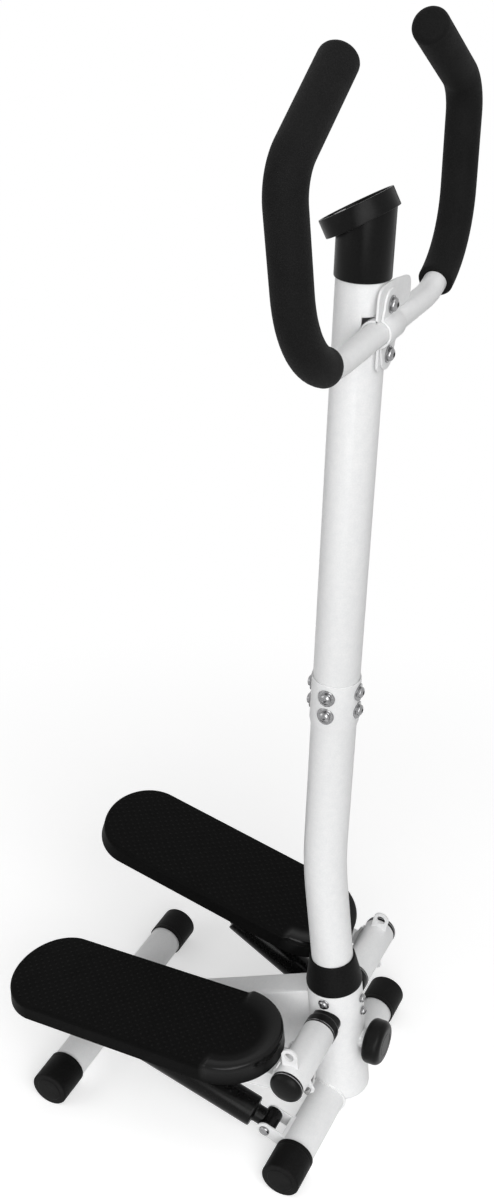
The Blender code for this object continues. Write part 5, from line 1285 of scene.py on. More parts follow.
# %% Monitor shell
TILT = math.radians(27.2)
MONITOR_Z = 1.2868
MONITOR_Y = upper_y(MONITOR_Z) + 0.013
MONITOR_RADIUS = 0.042
MONITOR_THICK = 0.0202
MONITOR_WALL = 0.0035
CUP_FLOOR = 0.013
SLEEVE_THICK = 0.0016
NECK_LENGTH = 0.09
NECK_SINK = 0.004
WIDE = 0.1
HOUSING_LOW = BAR_Z + SADDLE_RISE + 0.0025
monitor_place = shifted(0, MONITOR_Y, MONITOR_Z) @ rotated(-TILT, "X")


def make_housing():
    inner = UPPER_RADIUS + GAP
    cup_inner = MONITOR_RADIUS - MONITOR_WALL
    outline = [(0.01, -MONITOR_THICK), (MONITOR_RADIUS, -MONITOR_THICK), (MONITOR_RADIUS, 0.0),
               (cup_inner, 0.0), (cup_inner, -CUP_FLOOR), (0.01, -CUP_FLOOR)]
    housing = placed(turned("monitor_shell", eased(outline, 0.0010), sides=96), monitor_place)
    lean = shifted(0, upper_y(HOUSING_LOW), HOUSING_LOW) @ rotated(-UPPER_LEAN, "X")
    outer = inner + SLEEVE_THICK
    sleeve = eased([(inner, 0.0), (outer, 0.0), (outer, NECK_LENGTH), (inner, NECK_LENGTH)], 0.0006, 2)
    neck = placed(turned("neck", sleeve, sides=96), lean)
    above_cup = boxed("above_cup", (-WIDE, -WIDE, -MONITOR_THICK + NECK_SINK), (WIDE, WIDE, WIDE))
    combined(neck, placed(above_cup, monitor_place))
    combined(housing, neck, "UNION")
    drilled(housing, inner, -0.02, POST_TOP - HOUSING_LOW + 0.001, lean, 96)
    return finished(housing, "monitor_housing")


make_housing()

# %% [markdown]
# Inside the cup lies the console's face, with a fine groove near its edge, a pocket for the window
# and a guide for the key. The photograph shows the cup from behind, so the layout is a plain guess.
# No words or marks are on it.

# %% Console
WINDOW_HALF = (0.021, 0.010)
WINDOW_OFFSET = -0.007
WINDOW_CORNER = (0.003,) * 4
BUTTON_OFFSET = 0.020
BUTTON_RADIUS = 0.0065
BUTTON_PLAY = 0.0004
RECESS = 0.003
FACE_GROOVE = 0.0004
GROOVE_INSETS = (0.0035, 0.0040, 0.0046, 0.0051)
POCKET_DEPTH = 0.0018
GUIDE_FLOOR = 0.0015
ABOVE_FACE = 0.01
button_shift = shifted(0, BUTTON_OFFSET, 0)


def window_edge(more):
    """The window's outline, or its pocket's, which is a little larger."""
    w = WINDOW_HALF[0] + more
    low = WINDOW_OFFSET - WINDOW_HALF[1] - more
    high = WINDOW_OFFSET + WINDOW_HALF[1] + more
    return rounded([(-w, low), (w, low), (w, high), (-w, high)], WINDOW_CORNER)


def make_console():
    radius = MONITOR_RADIUS - MONITOR_WALL - GAP
    low = -CUP_FLOOR + GAP
    bottom = -RECESS - FACE_GROOVE
    a, b, c, d = (radius - inset for inset in GROOVE_INSETS)
    outline = [(0.01, low), (radius, low), (radius, -RECESS), (a, -RECESS), (b, bottom), (c, bottom),
               (d, -RECESS), (0.01, -RECESS)]
    console = turned("console_face", eased(outline, 0.0005, 2), sides=96)
    combined(console, plate("pocket", window_edge(GAP), -RECESS - POCKET_DEPTH, ABOVE_FACE, "Z"))
    drilled(console, BUTTON_RADIUS + BUTTON_PLAY, low + GUIDE_FLOOR, ABOVE_FACE, button_shift, 48)
    return finished(placed(console, monitor_place), "monitor_console")


make_console()

# %% [markdown]
# The display is a smoked window without a picture, and the key is a small drum with a dished top.
# Both could be drawn on the face, but the key moves, so both are pieces of their own.

# %% Window and key
WINDOW_SINK = 0.0015
WINDOW_RISE = 0.0002
KEY_FLOOR = 0.0039
KEY_RISE = 0.0018
KEY_FLAT = BUTTON_RADIUS * 0.62
KEY_DISH = 0.0007


def make_window():
    low, high = -RECESS - WINDOW_SINK, -RECESS + WINDOW_RISE
    window = plate("display_window", window_edge(0), low, high, "Z", WINDOW_RISE)
    return finished(placed(window, monitor_place), "monitor_lens")


def make_button():
    low = -CUP_FLOOR + KEY_FLOOR
    top = -RECESS + KEY_RISE
    outline = [(0.002, low), (BUTTON_RADIUS, low), (BUTTON_RADIUS, top), (KEY_FLAT, top),
               (0.001, top - KEY_DISH)]
    key = turned("button_key", eased(outline, 0.0008), sides=48)
    return finished(placed(key, monitor_place @ button_shift), "monitor_button")


make_window()
make_button()

# %% [markdown]
# The hand knob is a smooth moulded drum with full round edges. A shallow ring on its face shows
# where the insert was moulded in. Its steel spindle goes through the hub's boss and turns with it, so
# drum and spindle are one outline for the lathe.

# %% Knob
KNOB_RADIUS = 0.0318
KNOB_THICK = 0.0265
KNOB_BACK_ROUND = 0.0075
KNOB_FACE_ROUND = 0.0095
SPINDLE_RADIUS = 0.005
SPINDLE_REACH = 0.0575


def make_knob():
    r, t, s = KNOB_RADIUS, KNOB_THICK, SPINDLE_RADIUS
    spindle = [(s * 0.6, -SPINDLE_REACH), (s, -SPINDLE_REACH), (s, 0.0), (r * 0.82, 0.0)]
    back_edge = arc((r - KNOB_BACK_ROUND, KNOB_BACK_ROUND), KNOB_BACK_ROUND, -75, 15, 6)
    face_edge = arc((r - KNOB_FACE_ROUND, t - KNOB_FACE_ROUND), KNOB_FACE_ROUND, 0, 15, 7)
    face = [(r * 0.52, t), (r * 0.50, t - 0.0005), (r * 0.48, t), (0.002, t)]
    knob = turned("hand_knob", eased(spindle, 0.0006, 2)[:-1] + back_edge + face_edge + face, sides=96)
    place = shifted(0, hub_front(KNOB_HEIGHT) - KNOB_STANDOFF, KNOB_HEIGHT)
    return finished(placed(knob, place @ TO_FRONT), "height_knob")


make_knob()

# %% [markdown]
# Each arm is a pipe that turns on the axle, with a folded channel welded behind it. The channel
# carries the pedal, and its round lobe holds the cylinder's upper pin. Its side view is drawn with the
# pipe on the origin, level. The step is then one turn of the whole arm, and both sides share it.

# %% An arm's channel
PITCH = {"right": math.radians(-1.30), "left": math.radians(14.57)}
ARM_HALF = 0.0265
ARM_SHEET = 0.0025
ARM_TOP = -0.0056
ARM_LOW = -0.030
ARM_FRONT = 0.002
ARM_END = 0.310
LINK = (0.280, -0.0515)
LOBE_RADIUS = 0.0145
PEDAL_TOE = 0.0325
arm_place = {name: axle_place @ rotated(pitch, "X") for name, pitch in PITCH.items()}


def channel(x):
    side_view = [(ARM_FRONT, 0.012), (ARM_FRONT, ARM_LOW)] + arc(LINK, LOBE_RADIUS, -100, 10, 11)
    side_view += [(ARM_END, ARM_LOW), (ARM_END, ARM_TOP), (PEDAL_TOE - 0.0035, ARM_TOP),
                  (PEDAL_TOE - 0.006, 0.006)]
    made = plate("channel", side_view, x - ARM_HALF, x + ARM_HALF)
    softened(made, 0.0012, segments=3)
    wide = ARM_HALF - ARM_SHEET
    for name, end, low, high in (("room", 0.4, -0.2, ARM_TOP - ARM_SHEET),
                                 ("front", PEDAL_TOE - 0.002, ARM_TOP - 0.01, 0.05)):
        space = plate(name, [(-0.01, low), (end, low), (end, high), (-0.01, high)], x - wide, x + wide)
        combined(made, space)
    return made


print("arm pitches", [round(math.degrees(pitch), 2) for pitch in PITCH.values()])

# %% [markdown]
# An ear below the pipe takes the cable, and an upright lug with a round hole stands above it. Both
# are plates with one round end, so one helper draws their outline, and the arm joins the pipe, the
# channel and the two plates before any hole is drilled. Drilled first, the holes would be filled.

# %% Arms
SLEEVE_RADIUS = 0.0229
SLEEVE_WALL = 0.0034
SLEEVE_INNER = 0.0627
SLEEVE_OUTER = 0.1630
TAB_ROOT = 0.012
EAR_X = 0.132
EAR_REACH = 0.0343
EAR_TURN = math.radians(-119)
EAR_END = 0.0075
EAR_HALF = 0.0105
EAR_THICK = 0.0015
CABLE_HOLE = 0.0024
TAB_X = 0.150
TAB_TURN = math.radians(86)
TAB_REACH = 0.0379
TAB_HALF = 0.0115
TAB_THICK = 0.002
TAB_HOLE = 0.0068
TAB_DRILL = (-0.008, 0.008)
LINK_DRILL = (-0.04, 0.04)
PIPE_DRILL = (0.02, 0.20)
ARM_BEAD = 0.0017


def tab(x, turn, half, end, reach, step, count, thick):
    """A plate with a round end that stands on the pipe, half as thick to each side."""
    outline = [(TAB_ROOT, -half)] + arc((reach, 0), end, -90, step, count) + [(TAB_ROOT, half)]
    return placed(plate("tab", outline, x - thick, x + thick, "X", 0.0004), rotated(turn, "X"))


def tab_hole(x, reach, turn):
    return shifted(x, reach * math.cos(turn), reach * math.sin(turn)) @ ALONG_X


def make_arm(side_name, side):
    quarter = rotated(side * math.pi / 2, "Y")
    outline = [(0.01, SLEEVE_INNER), (SLEEVE_RADIUS, SLEEVE_INNER), (SLEEVE_RADIUS, SLEEVE_OUTER),
               (0.01, SLEEVE_OUTER)]
    arm = placed(turned(f"{side_name}_swing_arm", eased(outline, 0.0005, 2), sides=80), quarter)
    combined(arm, channel(side * ARM_X), "UNION")
    combined(arm, tab(side * EAR_X, EAR_TURN, EAR_HALF, EAR_END, EAR_REACH, 12, 16, EAR_THICK), "UNION")
    combined(arm, tab(side * TAB_X, TAB_TURN, TAB_HALF, TAB_HALF, TAB_REACH, 10, 19, TAB_THICK), "UNION")
    drilled(arm, TAB_HOLE, *TAB_DRILL, tab_hole(side * TAB_X, TAB_REACH, TAB_TURN), 40)
    drilled(arm, SLEEVE_RADIUS - SLEEVE_WALL, *PIPE_DRILL, quarter, 80)
    drilled(arm, PIN_RADIUS + GAP, *LINK_DRILL, shifted(side * ARM_X, *LINK) @ ALONG_X)
    drilled(arm, CABLE_HOLE, *TAB_DRILL, tab_hole(side * EAR_X, EAR_REACH, EAR_TURN), 24)
    return finished(placed(arm, arm_place[side_name]), f"{side_name}_arm")


def arm_welds(side_name, side):
    for edge, way in (("inner", -1), ("outer", 1)):
        x = side * ARM_X + way * (ARM_HALF + BEAD_LIFT)
        curved = arc((0, 0), SLEEVE_RADIUS + BEAD_HIGH_LIFT, 24, -6, 18)
        points = [arm_place[side_name] @ Vector((x, *point)) for point in curved]
        weld_bead(f"{side_name}_arm_weld_{edge}", points, f"{side_name}_arm", radius=ARM_BEAD)


for side_name, side_sign in SIDES:
    make_arm(side_name, side_sign)
    arm_welds(side_name, side_sign)

# %% [markdown]
# A pedal is a long plate with two round ends and a skirt. Its toe is lifted in a crescent that fades
# inwards. The crescent could be sculpted, but two formulas say it exactly: how far a point lies
# inside the edge, and how much of the toe it belongs to.

# %% Pedal measures
PEDAL_INNER = 0.0448
PEDAL_OUTER = 0.1998
PEDAL_HALF = (PEDAL_OUTER - PEDAL_INNER) / 2
PEDAL_HEEL = 0.448
HEEL_DEPTH = 0.062
PEDAL_TOP = 0.0175
PEDAL_SKIRT = 0.0225
PEDAL_LOW = PEDAL_TOP - PEDAL_SKIRT
PEDAL_SHEET = 0.004
TOE_RISE = 0.007
TOE_WIDTH = 0.034
TOE_FADE = 0.006
TOE_LINE = PEDAL_TOE + PEDAL_HALF
HEEL_LINE = PEDAL_HEEL - HEEL_DEPTH


def rim_distance(x, y):
    """How far a point of the tread lies inside the pedal's edge; x is from the middle line."""
    if y < TOE_LINE:
        return PEDAL_HALF - math.hypot(x, y - TOE_LINE)
    if y > HEEL_LINE:
        return PEDAL_HALF - math.hypot(x, (y - HEEL_LINE) * PEDAL_HALF / HEEL_DEPTH)
    return PEDAL_HALF - abs(x)


def soft_step(t):
    t = min(max(t, 0.0), 1.0)
    return t * t * (3 - 2 * t)


def toe_amount(x, y):
    along = soft_step((TOE_LINE + TOE_FADE - y) / (2 * TOE_FADE))
    return along * soft_step((TOE_WIDTH - rim_distance(x, y)) / (TOE_WIDTH - PEDAL_SHEET))


print("share of the toe at its tip", round(toe_amount(0, PEDAL_TOE), 2))

# %% [markdown]
# The pedal's shell starts as a circle whose rear half is pulled back to the heel. Insets with depth
# raise the skirt, ease the edge and lay the tread, and five cuts give the toe's line points to bend
# at. A subdivided plate would also do, but it would need far more faces for the same round edge.

# %% Pedal shell
EDGE_STEPS = [(0.0010, PEDAL_SKIRT - 0.0060), (0.0, 0.0025), (0.0003, 0.0014), (0.0009, 0.0011),
              (0.0013, 0.0008), (0.0014, 0.0002), (0.0020, 0.0)]
TREAD_STEPS = [(0.0030, 0.0)] * 9
TOE_CUTS = (-0.006, -0.003, 0.003, 0.006, 0.012)
SKIRT_FLARE = 0.001


def pedal_shell(name):
    piece = new_circle(name, 144, PEDAL_HALF + SKIRT_FLARE, True)
    open_edit(piece)
    bpy.ops.mesh.select_mode(type="VERT")
    bpy.ops.mesh.select_all(action="DESELECT")
    bpy.ops.object.mode_set(mode="OBJECT")
    for point in piece.data.vertices:
        point.select = point.co.y > 0.0001
    bpy.ops.object.mode_set(mode="EDIT")
    bpy.ops.transform.resize(value=(1, HEEL_DEPTH / PEDAL_HALF, 1), center_override=(0, 0, 0))
    bpy.ops.transform.translate(value=(0, HEEL_LINE - TOE_LINE, 0))
    bpy.ops.mesh.select_all(action="SELECT")
    bpy.ops.transform.translate(value=(0, TOE_LINE, PEDAL_LOW))
    bpy.ops.mesh.select_mode(type="FACE")
    bpy.ops.mesh.select_all(action="SELECT")
    for thickness, depth in EDGE_STEPS + TREAD_STEPS:
        if thickness:
            bpy.ops.mesh.inset(thickness=thickness, depth=depth)
        else:
            bpy.ops.mesh.extrude_region_move(TRANSFORM_OT_translate={"value": (0, 0, depth)})
    bpy.ops.mesh.select_all(action="SELECT")
    bpy.ops.mesh.region_to_loop()
    bpy.ops.mesh.edge_face_add()
    bpy.ops.mesh.select_mode(type="FACE")
    bpy.ops.mesh.inset(thickness=PEDAL_SHEET + SKIRT_FLARE, depth=0.0)
    bpy.ops.mesh.extrude_region_move(TRANSFORM_OT_translate={"value": (0, 0, PEDAL_SKIRT - PEDAL_SHEET)})
    for offset in TOE_CUTS:
        bpy.ops.mesh.select_all(action="SELECT")
        bpy.ops.mesh.bisect(plane_co=(0, TOE_LINE + offset, 0), plane_no=(0, 1, 0))
    bpy.ops.mesh.select_mode(type="VERT")
    return face_out(piece)


def lift_toe(piece):
    """Raise the crescent and write how much of the toe each point belongs to."""
    paint = piece.data.attributes.new("toe", "FLOAT", "POINT")
    for point in piece.data.vertices:
        x, y, z = point.co
        on_skirt = rim_distance(x, y) < PEDAL_SHEET - 0.0005 and z > PEDAL_LOW + 0.001
        if on_skirt or z > PEDAL_TOP - 0.0035:
            share = (z - PEDAL_LOW) / PEDAL_SKIRT
            amount = toe_amount(x, y)
            point.co.z += TOE_RISE * amount * share ** 2
            paint.data[point.index].value = amount
    return piece


print("toe rises", TOE_RISE)

# %% [markdown]
# Small worn studs stand in staggered rows on the tread behind the toe. A bump in the finish could
# draw them, but a shape that can be seen belongs in the mesh, so one dome is modelled and copied.

# %% Studs
STUD_PITCH = 0.0125
STUD_RADIUS = 0.0019
STUD_RISE = 0.0007
STUD_COLUMNS = 7
STUD_MARGIN = 0.0075
STUD_SINK = 0.0002
BEHIND_TOE = 0.004
INSIDE_TOE = 0.003
TOE_TRACE = 0.01


def stud_places():
    half_pitch = STUD_PITCH / 2
    places = []
    for row in range(int((PEDAL_HEEL - PEDAL_TOE) / half_pitch) + 1):
        y = PEDAL_TOE + row * half_pitch
        for column in range(-STUD_COLUMNS, STUD_COLUMNS + 1):
            x = column * STUD_PITCH + half_pitch * (row % 2)
            inside = rim_distance(x, y)
            behind_toe = y > TOE_LINE + BEHIND_TOE or inside > TOE_WIDTH + INSIDE_TOE
            if inside > STUD_MARGIN and toe_amount(x, y) < TOE_TRACE and behind_toe:
                places.append((x, y, PEDAL_TOP - STUD_SINK))
    return places


def studs(name):
    dot = new_circle("dot", 8, STUD_RADIUS, True)
    open_edit(dot)
    bpy.ops.mesh.extrude_region_move(TRANSFORM_OT_translate={"value": (0, 0, STUD_RISE * 0.6)})
    bpy.ops.mesh.inset(thickness=STUD_RADIUS * 0.35, depth=STUD_RISE * 0.4)
    face_out(dot)
    copies = []
    for point in stud_places():
        copy = bpy.data.objects.new("dot_copy", dot.data.copy())
        bpy.context.scene.collection.objects.link(copy)
        copy.location = point
        copies.append(copy)
    deselect()
    for copy in copies:
        copy.select_set(True)
    bpy.context.view_layer.objects.active = copies[0]
    bpy.ops.object.join()
    field = bpy.context.object
    field.name = name
    bpy.ops.object.transform_apply(location=True, rotation=True, scale=True)
    bpy.data.objects.remove(dot, do_unlink=True)
    print(name, "studs", len(copies))
    return field


print("places for studs", len(stud_places()))

# %% [markdown]
# Three ribs under the tread carry it on the arm's channel. They are joined to the shell. The studs
# stay a piece of their own: their lighter finish is a painted glint on their round tops.

# %% Pedals
RIB_STATIONS = (0.13, 0.21, 0.29)
RIB_HALF = 0.002
RIB_SINK = 0.001


def make_pedal(side_name, side):
    centre = side * (PEDAL_INNER + PEDAL_OUTER) / 2
    off = side * ARM_X - centre
    tread = lift_toe(pedal_shell(f"{side_name}_tread"))
    for station in RIB_STATIONS:
        rib = boxed("rib", (off - ARM_HALF, station - RIB_HALF, ARM_TOP + GAP),
                    (off + ARM_HALF, station + RIB_HALF, PEDAL_TOP - PEDAL_SHEET + RIB_SINK))
        combined(tread, rib, "UNION")
    place = arm_place[side_name] @ shifted(centre, 0, 0)
    finished(placed(tread, place), f"{side_name}_pedal", PEDAL_FINISH)
    field = placed(studs(f"{side_name}_tread_studs"), place)
    # The studs take the lighter finish, a painted glint.
    finished(field, f"{side_name}_pedal", STUD_GLINT_FINISH, replace=False)


for side_name, side_sign in SIDES:
    make_pedal(side_name, side_sign)

# %% [markdown]
# A black hydraulic cylinder stands under each pedal: a painted tube with a stepped gland, a plated
# rod, and a cross eye at each end. They could be modelled where they stand, at an angle. It is easier
# to turn them on the origin and lay them on the line between the two pins.

# %% Cylinder line and eyes
LOWER_EYE = 0.0122
LINK_EYE = 0.0115
LOWER_EYE_PLAY = 0.0004
LINK_EYE_PLAY = 0.0008
LINK_PIN_PLAY = 0.0012


def link_place(side_name, side):
    """The frame of a cylinder: its origin on the lower pin and its Y along the rod."""
    top = arm_place[side_name] @ Vector((0, *LINK))
    span = Vector((0, top.y - CLEVIS_Y, top.z - CLEVIS_Z))
    rise = math.atan2(span.z, span.y)
    return shifted(side * ARM_X, CLEVIS_Y, CLEVIS_Z) @ rotated(rise, "X"), span.length


def cross_eye(radius, half, hole, y=0.0):
    ring = eased([(hole, -half), (radius, -half), (radius, half), (hole, half)], 0.0008, ring=True)
    return placed(turned("eye", ring, sides=56, ring=True), shifted(0, y, 0) @ ALONG_X)


for side_name, side_sign in SIDES:
    print(side_name, "pins are", round(link_place(side_name, side_sign)[1], 4), "apart")

# %% [markdown]
# The cylinder's tube is turned outside and inside, so that the piston has room. The rod is one
# outline with its piston and a thicker end. Each gets its eye by a union.

# %% Cylinders and rods
CYLINDER_RADIUS = 0.0219
CYLINDER_BORE = 0.0185
CYLINDER_START = 0.024
CYLINDER_END = 0.2052
CYLINDER_FLOOR = 0.016
CYLINDER_HEAD = 0.010
NECK_RADIUS = 0.0125
GLAND_COLLAR = (0.0152, 0.0036)
GLAND_RADIUS = 0.0126
GLAND = 0.015
GLAND_BORE = 0.0064
ROD_RADIUS = 0.006
ROD_LENGTH = 0.165
ROD_END_RADIUS = 0.008
PISTON_RADIUS = 0.0181
PISTON_THICK = 0.012


def make_cylinder(side_name, side):
    place, _ = link_place(side_name, side)
    r, a, b = CYLINDER_RADIUS, CYLINDER_START, CYLINDER_END
    collar, collar_end = GLAND_COLLAR[0], b + GLAND_COLLAR[1]
    root = LOWER_EYE * 0.6
    outline = [(0.006, root), (NECK_RADIUS, root), (NECK_RADIUS, a), (r, a), (r, b), (collar, b),
               (collar, collar_end), (GLAND_RADIUS, collar_end), (GLAND_RADIUS, b + GLAND),
               (GLAND_BORE, b + GLAND), (GLAND_BORE, b), (CYLINDER_BORE, b - CYLINDER_HEAD),
               (CYLINDER_BORE, a + CYLINDER_FLOOR), (0.002, a + CYLINDER_FLOOR)]
    tube = placed(turned(f"{side_name}_damper_tube", eased(outline, 0.0035, 5), sides=80), ALONG_Y)
    combined(tube, cross_eye(LOWER_EYE, CLEVIS_HALF - LOWER_EYE_PLAY, PIN_RADIUS + GAP), "UNION")
    finished(placed(tube, place), f"{side_name}_cylinder")


def make_rod(side_name, side):
    place, reach = link_place(side_name, side)
    low = reach - ROD_LENGTH
    top = reach - LINK_EYE * 0.75
    outline = [(0.004, low), (PISTON_RADIUS, low), (PISTON_RADIUS, low + PISTON_THICK),
               (ROD_RADIUS, low + PISTON_THICK), (ROD_RADIUS, reach - LINK_EYE - 0.004),
               (ROD_END_RADIUS, reach - LINK_EYE - 0.002), (ROD_END_RADIUS, top), (0.004, top)]
    rod = placed(turned(f"{side_name}_damper_rod", eased(outline, 0.0006, 2), sides=64), ALONG_Y)
    half = ARM_HALF - ARM_SHEET - LINK_EYE_PLAY
    combined(rod, cross_eye(LINK_EYE, half, PIN_RADIUS + LINK_PIN_PLAY, reach), "UNION")
    finished(placed(rod, place), f"{side_name}_rod")


for side_name, side_sign in SIDES:
    make_cylinder(side_name, side_sign)
    make_rod(side_name, side_sign)

# %% [markdown]
# Pins hold both ends of each cylinder: a domed head outside and a pressed collar inside, with the
# plain shank between. Head, shank and collar could be three pieces, but a rivet is one, so the lathe
# turns it as one.

# %% Pins
PIN_HEAD = 0.0076
PIN_HEAD_EDGE = 0.0020
PIN_HEAD_DOME = 0.0028
PIN_COLLAR = 0.0060
PIN_COLLAR_END = 0.0033


def make_pin(name, node, half, place, side):
    end = half + GAP
    outline = [(0.002, -half - PIN_COLLAR_END), (PIN_COLLAR, -half - PIN_COLLAR_END), (PIN_COLLAR, -end),
               (PIN_RADIUS, -end), (PIN_RADIUS, end), (PIN_HEAD, end), (PIN_HEAD, half + PIN_HEAD_EDGE)]
    dome = arc((0, half + PIN_HEAD_EDGE), PIN_HEAD, 14, 14, 6, PIN_HEAD_DOME)
    pin = turned(name, eased(outline, 0.0004, 2) + dome, sides=40)
    finished(placed(placed(pin, rotated(side * math.pi / 2, "Y")), place), node)


for side_name, side_sign in SIDES:
    low_place = shifted(side_sign * ARM_X, CLEVIS_Y, CLEVIS_Z)
    ears = CLEVIS_HALF + CLEVIS_SHEET
    make_pin(f"{side_name}_fork_pin", f"{side_name}_lower_pin", ears, low_place, side_sign)
    top_place = arm_place[side_name] @ shifted(side_sign * ARM_X, *LINK)
    make_pin(f"{side_name}_arm_pin", f"{side_name}_upper_pin", ARM_HALF, top_place, side_sign)

# %% [markdown]
# Black bushings line the arm's pipe, and a thin bright ring shows at its end. The inner bushing grows
# into a wide collar that meets the round hub. Its end could be shaped by hand to the hub. Drilling
# it with the hub's own place and radius fits it at once.

# %% Bushings
AXLE_BORE = 0.0103
BUSHING_OUTER = SLEEVE_RADIUS - SLEEVE_WALL - 0.0004
BUSHING_REACH = 0.022
FLANGE = 0.0014
RING_WALL = 0.0030
COLLAR_WIDE = SLEEVE_RADIUS + 0.0006
COLLAR_ROOT = HUB_RADIUS * 0.84


def on_axle(side):
    return axle_place @ rotated(side * math.pi / 2, "Y")


def bright_ring(name, node, radius, low, high, place):
    outline = [(radius - RING_WALL, low), (radius, low), (radius, high), (radius - RING_WALL, high)]
    ring = turned(name, eased(outline, 0.0002, 2, ring=True), sides=80, ring=True)
    finished(placed(ring, place), node, FINISH["chrome_steel"], replace=False)


def make_inner_bushing(side_name, side):
    end = SLEEVE_INNER - GAP
    neck, seat = COLLAR_WIDE - 0.003, COLLAR_WIDE - 0.0012
    outline = [(AXLE_BORE, COLLAR_ROOT), (neck, COLLAR_ROOT), (neck, end - 0.0175), (seat, end - 0.0160),
               (COLLAR_WIDE, end - 0.0135), (COLLAR_WIDE, end - 0.0034), (seat, end - 0.0034),
               (seat, end - FLANGE), (COLLAR_WIDE, end - FLANGE), (COLLAR_WIDE, end), (BUSHING_OUTER, end),
               (BUSHING_OUTER, end + BUSHING_REACH), (AXLE_BORE, end + BUSHING_REACH)]
    inner = turned(f"{side_name}_collar_bushing", eased(outline, 0.0007, ring=True), ring=True)
    placed(inner, on_axle(side))
    drilled(inner, HUB_RADIUS + GAP, -THROUGH, HUB_TOP, hub_place, 96)
    finished(inner, f"{side_name}_inner_bushing")
    bright_ring(f"{side_name}_inner_ring", f"{side_name}_inner_bushing", COLLAR_WIDE - 0.0002, end - 0.0030,
                end - 0.0017, on_axle(side))


def make_outer_bushing(side_name, side):
    end = SLEEVE_OUTER + GAP
    outline = [(AXLE_BORE, end - BUSHING_REACH), (BUSHING_OUTER, end - BUSHING_REACH), (BUSHING_OUTER, end),
               (SLEEVE_RADIUS, end), (SLEEVE_RADIUS, end + FLANGE), (AXLE_BORE, end + FLANGE)]
    ring = turned(f"{side_name}_flange_bushing", eased(outline, 0.0004, 2, ring=True), ring=True)
    finished(placed(ring, on_axle(side)), f"{side_name}_outer_bushing")


for side_name, side_sign in SIDES:
    make_inner_bushing(side_name, side_sign)
    make_outer_bushing(side_name, side_sign)

# %% [markdown]
# A domed black cap closes each end of the axle, with a bright ring at its foot. A scaled sphere would
# have the wrong curve: the real cap is nearly flat in the middle and falls away at its rim. A cosine
# with a power gives that.

# %% Axle caps
AXLE_END = 0.1713
AXLE_CAP_RADIUS = 0.023
AXLE_CAP_RISE = 0.013
DOME_POWER = 0.8


def make_axle_cap(side_name, side):
    low = SLEEVE_OUTER + 2 * GAP + FLANGE
    r, t = AXLE_CAP_RADIUS, AXLE_CAP_RISE
    foot = [(0.004, AXLE_END), (AXLE_BORE, AXLE_END), (AXLE_BORE, low), (r, low), (r, low + 0.0016),
            (r - 0.0005, low + 0.0020)]
    dome = [(r * math.cos(a) ** DOME_POWER, low + t * (0.30 + 0.70 * math.sin(a)))
            for a in (math.radians(k * 9) for k in range(9))]
    outline = eased(foot, 0.0004, 2) + [(r, low + 0.0024)] + dome + [(0.0015, low + t)]
    cap = turned(f"{side_name}_domed_cap", outline, sides=80)
    finished(placed(cap, on_axle(side)), f"{side_name}_axle_cap")
    bright_ring(f"{side_name}_cap_ring", f"{side_name}_axle_cap", r + 0.0003, low + 0.0016, low + 0.0030,
                on_axle(side))


for side_name, side_sign in SIDES:
    make_axle_cap(side_name, side_sign)

# %% [markdown]
# The stage is a plain pale floor. A white floor that only takes lamp light turns grey far out, and
# more light would bleach the stepper. So the floor glows for the camera and for reflections, a
# little near the stepper and fully far out, and still shows the shadow.

# %% Floor
FLOOR_SIZE = 14.0
FLOOR_TONE = 0.86
NEAR_GLOW = 0.42
GLOW_START = 0.45
GLOW_END = 1.30
WHITE = (1.0, 1.0, 1.0, 1.0)


def seen_by(tree, *rays):
    """1 for what the camera or one of the named kinds of ray sees."""
    path = add_node(tree, "ShaderNodeLightPath")
    seen = path.outputs["Is Camera Ray"]
    for ray in rays:
        either = add_node(tree, "ShaderNodeMath", operation="MAXIMUM")
        tree.links.new(seen, either.inputs[0])
        tree.links.new(path.outputs[ray], either.inputs[1])
        seen = either.outputs[0]
    return seen


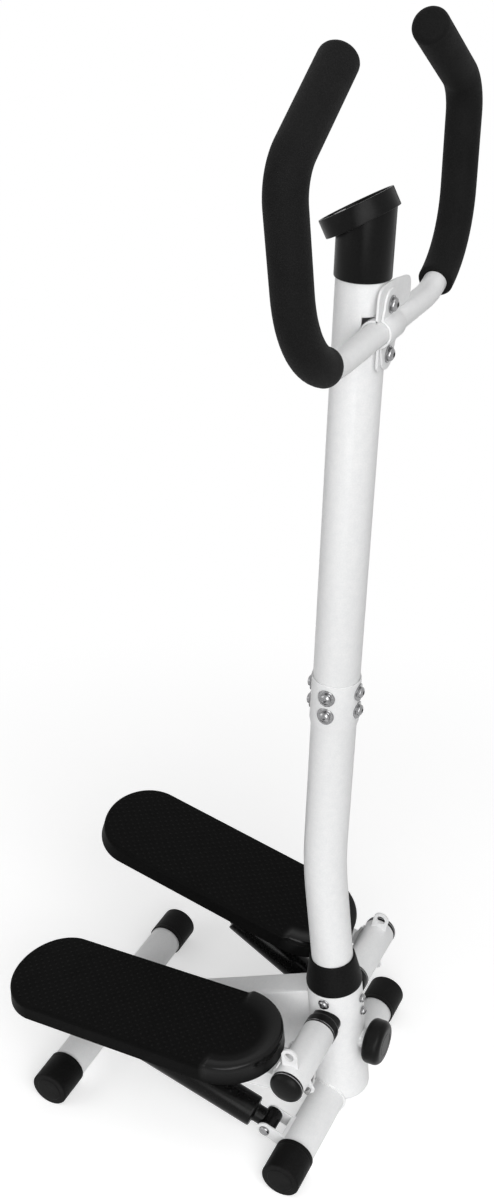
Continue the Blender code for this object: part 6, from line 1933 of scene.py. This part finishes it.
def floor_finish():
    made = bpy.data.materials.new("pale_floor")
    made.use_nodes = True
    tree = made.node_tree
    shader = tree.nodes["Principled BSDF"]
    for label, value in (("Roughness", 0.9), (REFLECTION, 0.0), ("Emission Color", WHITE)):
        shader.inputs[label].default_value = value
    place = add_node(tree, "ShaderNodeTexCoord")
    reach = add_node(tree, "ShaderNodeVectorMath", operation="LENGTH")
    far = add_node(tree, "ShaderNodeMapRange", {"From Min": GLOW_START, "From Max": GLOW_END},
                   interpolation_type="SMOOTHSTEP")
    amount = add_node(tree, "ShaderNodeMapRange", {"To Min": NEAR_GLOW, "To Max": 1.0})
    glow = add_node(tree, "ShaderNodeMath", operation="MULTIPLY")
    join(tree, (place, "Object", reach, 0), (reach, "Value", far, "Value"), (far, "Result", amount, "Value"),
         (amount, "Result", glow, 1), (glow, 0, shader, "Emission Strength"))
    tree.links.new(seen_by(tree, "Is Glossy Ray"), glow.inputs[0])
    pale = mixed_colour(tree, far.outputs["Result"], (FLOOR_TONE,) * 3, (0.0,) * 3)
    tree.links.new(pale, shader.inputs["Base Color"])
    return made


def make_floor():
    deselect()
    bpy.ops.mesh.primitive_plane_add(size=FLOOR_SIZE)
    floor = bpy.context.object
    floor.name = "studio_floor"
    floor.data.materials.append(floor_finish())


make_floor()
print("floor", FLOOR_SIZE, "wide")

# %% [markdown]
# The world is white for the camera, for reflections and for what is seen through glass, but lights
# the stepper only gently. Four large soft lamps give it shape. A single hard lamp would clip the
# white paint and leave the black parts without edges.

# %% World and lamps
WORLD_LIGHT = 0.34
# Each lamp: its name, its place, the height it aims at, its width and its power.
LAMPS = (("key_lamp", (-1.8, -1.9, 2.2), 0.6, 1.8, 35.0), ("front_lamp", (-2.7, -1.2, 1.0), 0.5, 2.2, 41.0),
         ("rear_lamp", (-1.9, 2.0, 1.4), 0.5, 2.0, 15.0), ("top_lamp", (-0.4, -1.0, 3.2), 0.4, 2.2, 10.0))


def make_world():
    world = bpy.context.scene.world or bpy.data.worlds.new("studio")
    bpy.context.scene.world = world
    world.use_nodes = True
    tree = world.node_tree
    background = tree.nodes["Background"]
    background.inputs["Color"].default_value = WHITE
    amount = add_node(tree, "ShaderNodeMapRange", {"To Min": WORLD_LIGHT, "To Max": 1.0})
    tree.links.new(seen_by(tree, "Is Glossy Ray", "Is Transmission Ray"), amount.inputs["Value"])
    join(tree, (amount, "Result", background, "Strength"))


def make_lamp(name, place, target_height, size, power):
    lamp = bpy.data.lights.new(name, "AREA")
    lamp.shape = "DISK"
    lamp.size = size
    lamp.energy = power
    holder = bpy.data.objects.new(name, lamp)
    bpy.context.scene.collection.objects.link(holder)
    holder.location = place
    aim = Vector(place) - Vector((0, 0, target_height))
    holder.rotation_euler = aim.to_track_quat("Z", "Y").to_euler()


make_world()
for row in LAMPS:
    make_lamp(*row)
bpy.context.scene.view_settings.view_transform = "Standard"
print("lamps", len(LAMPS))

# %% [markdown]

# %% The end
print("scene ready")
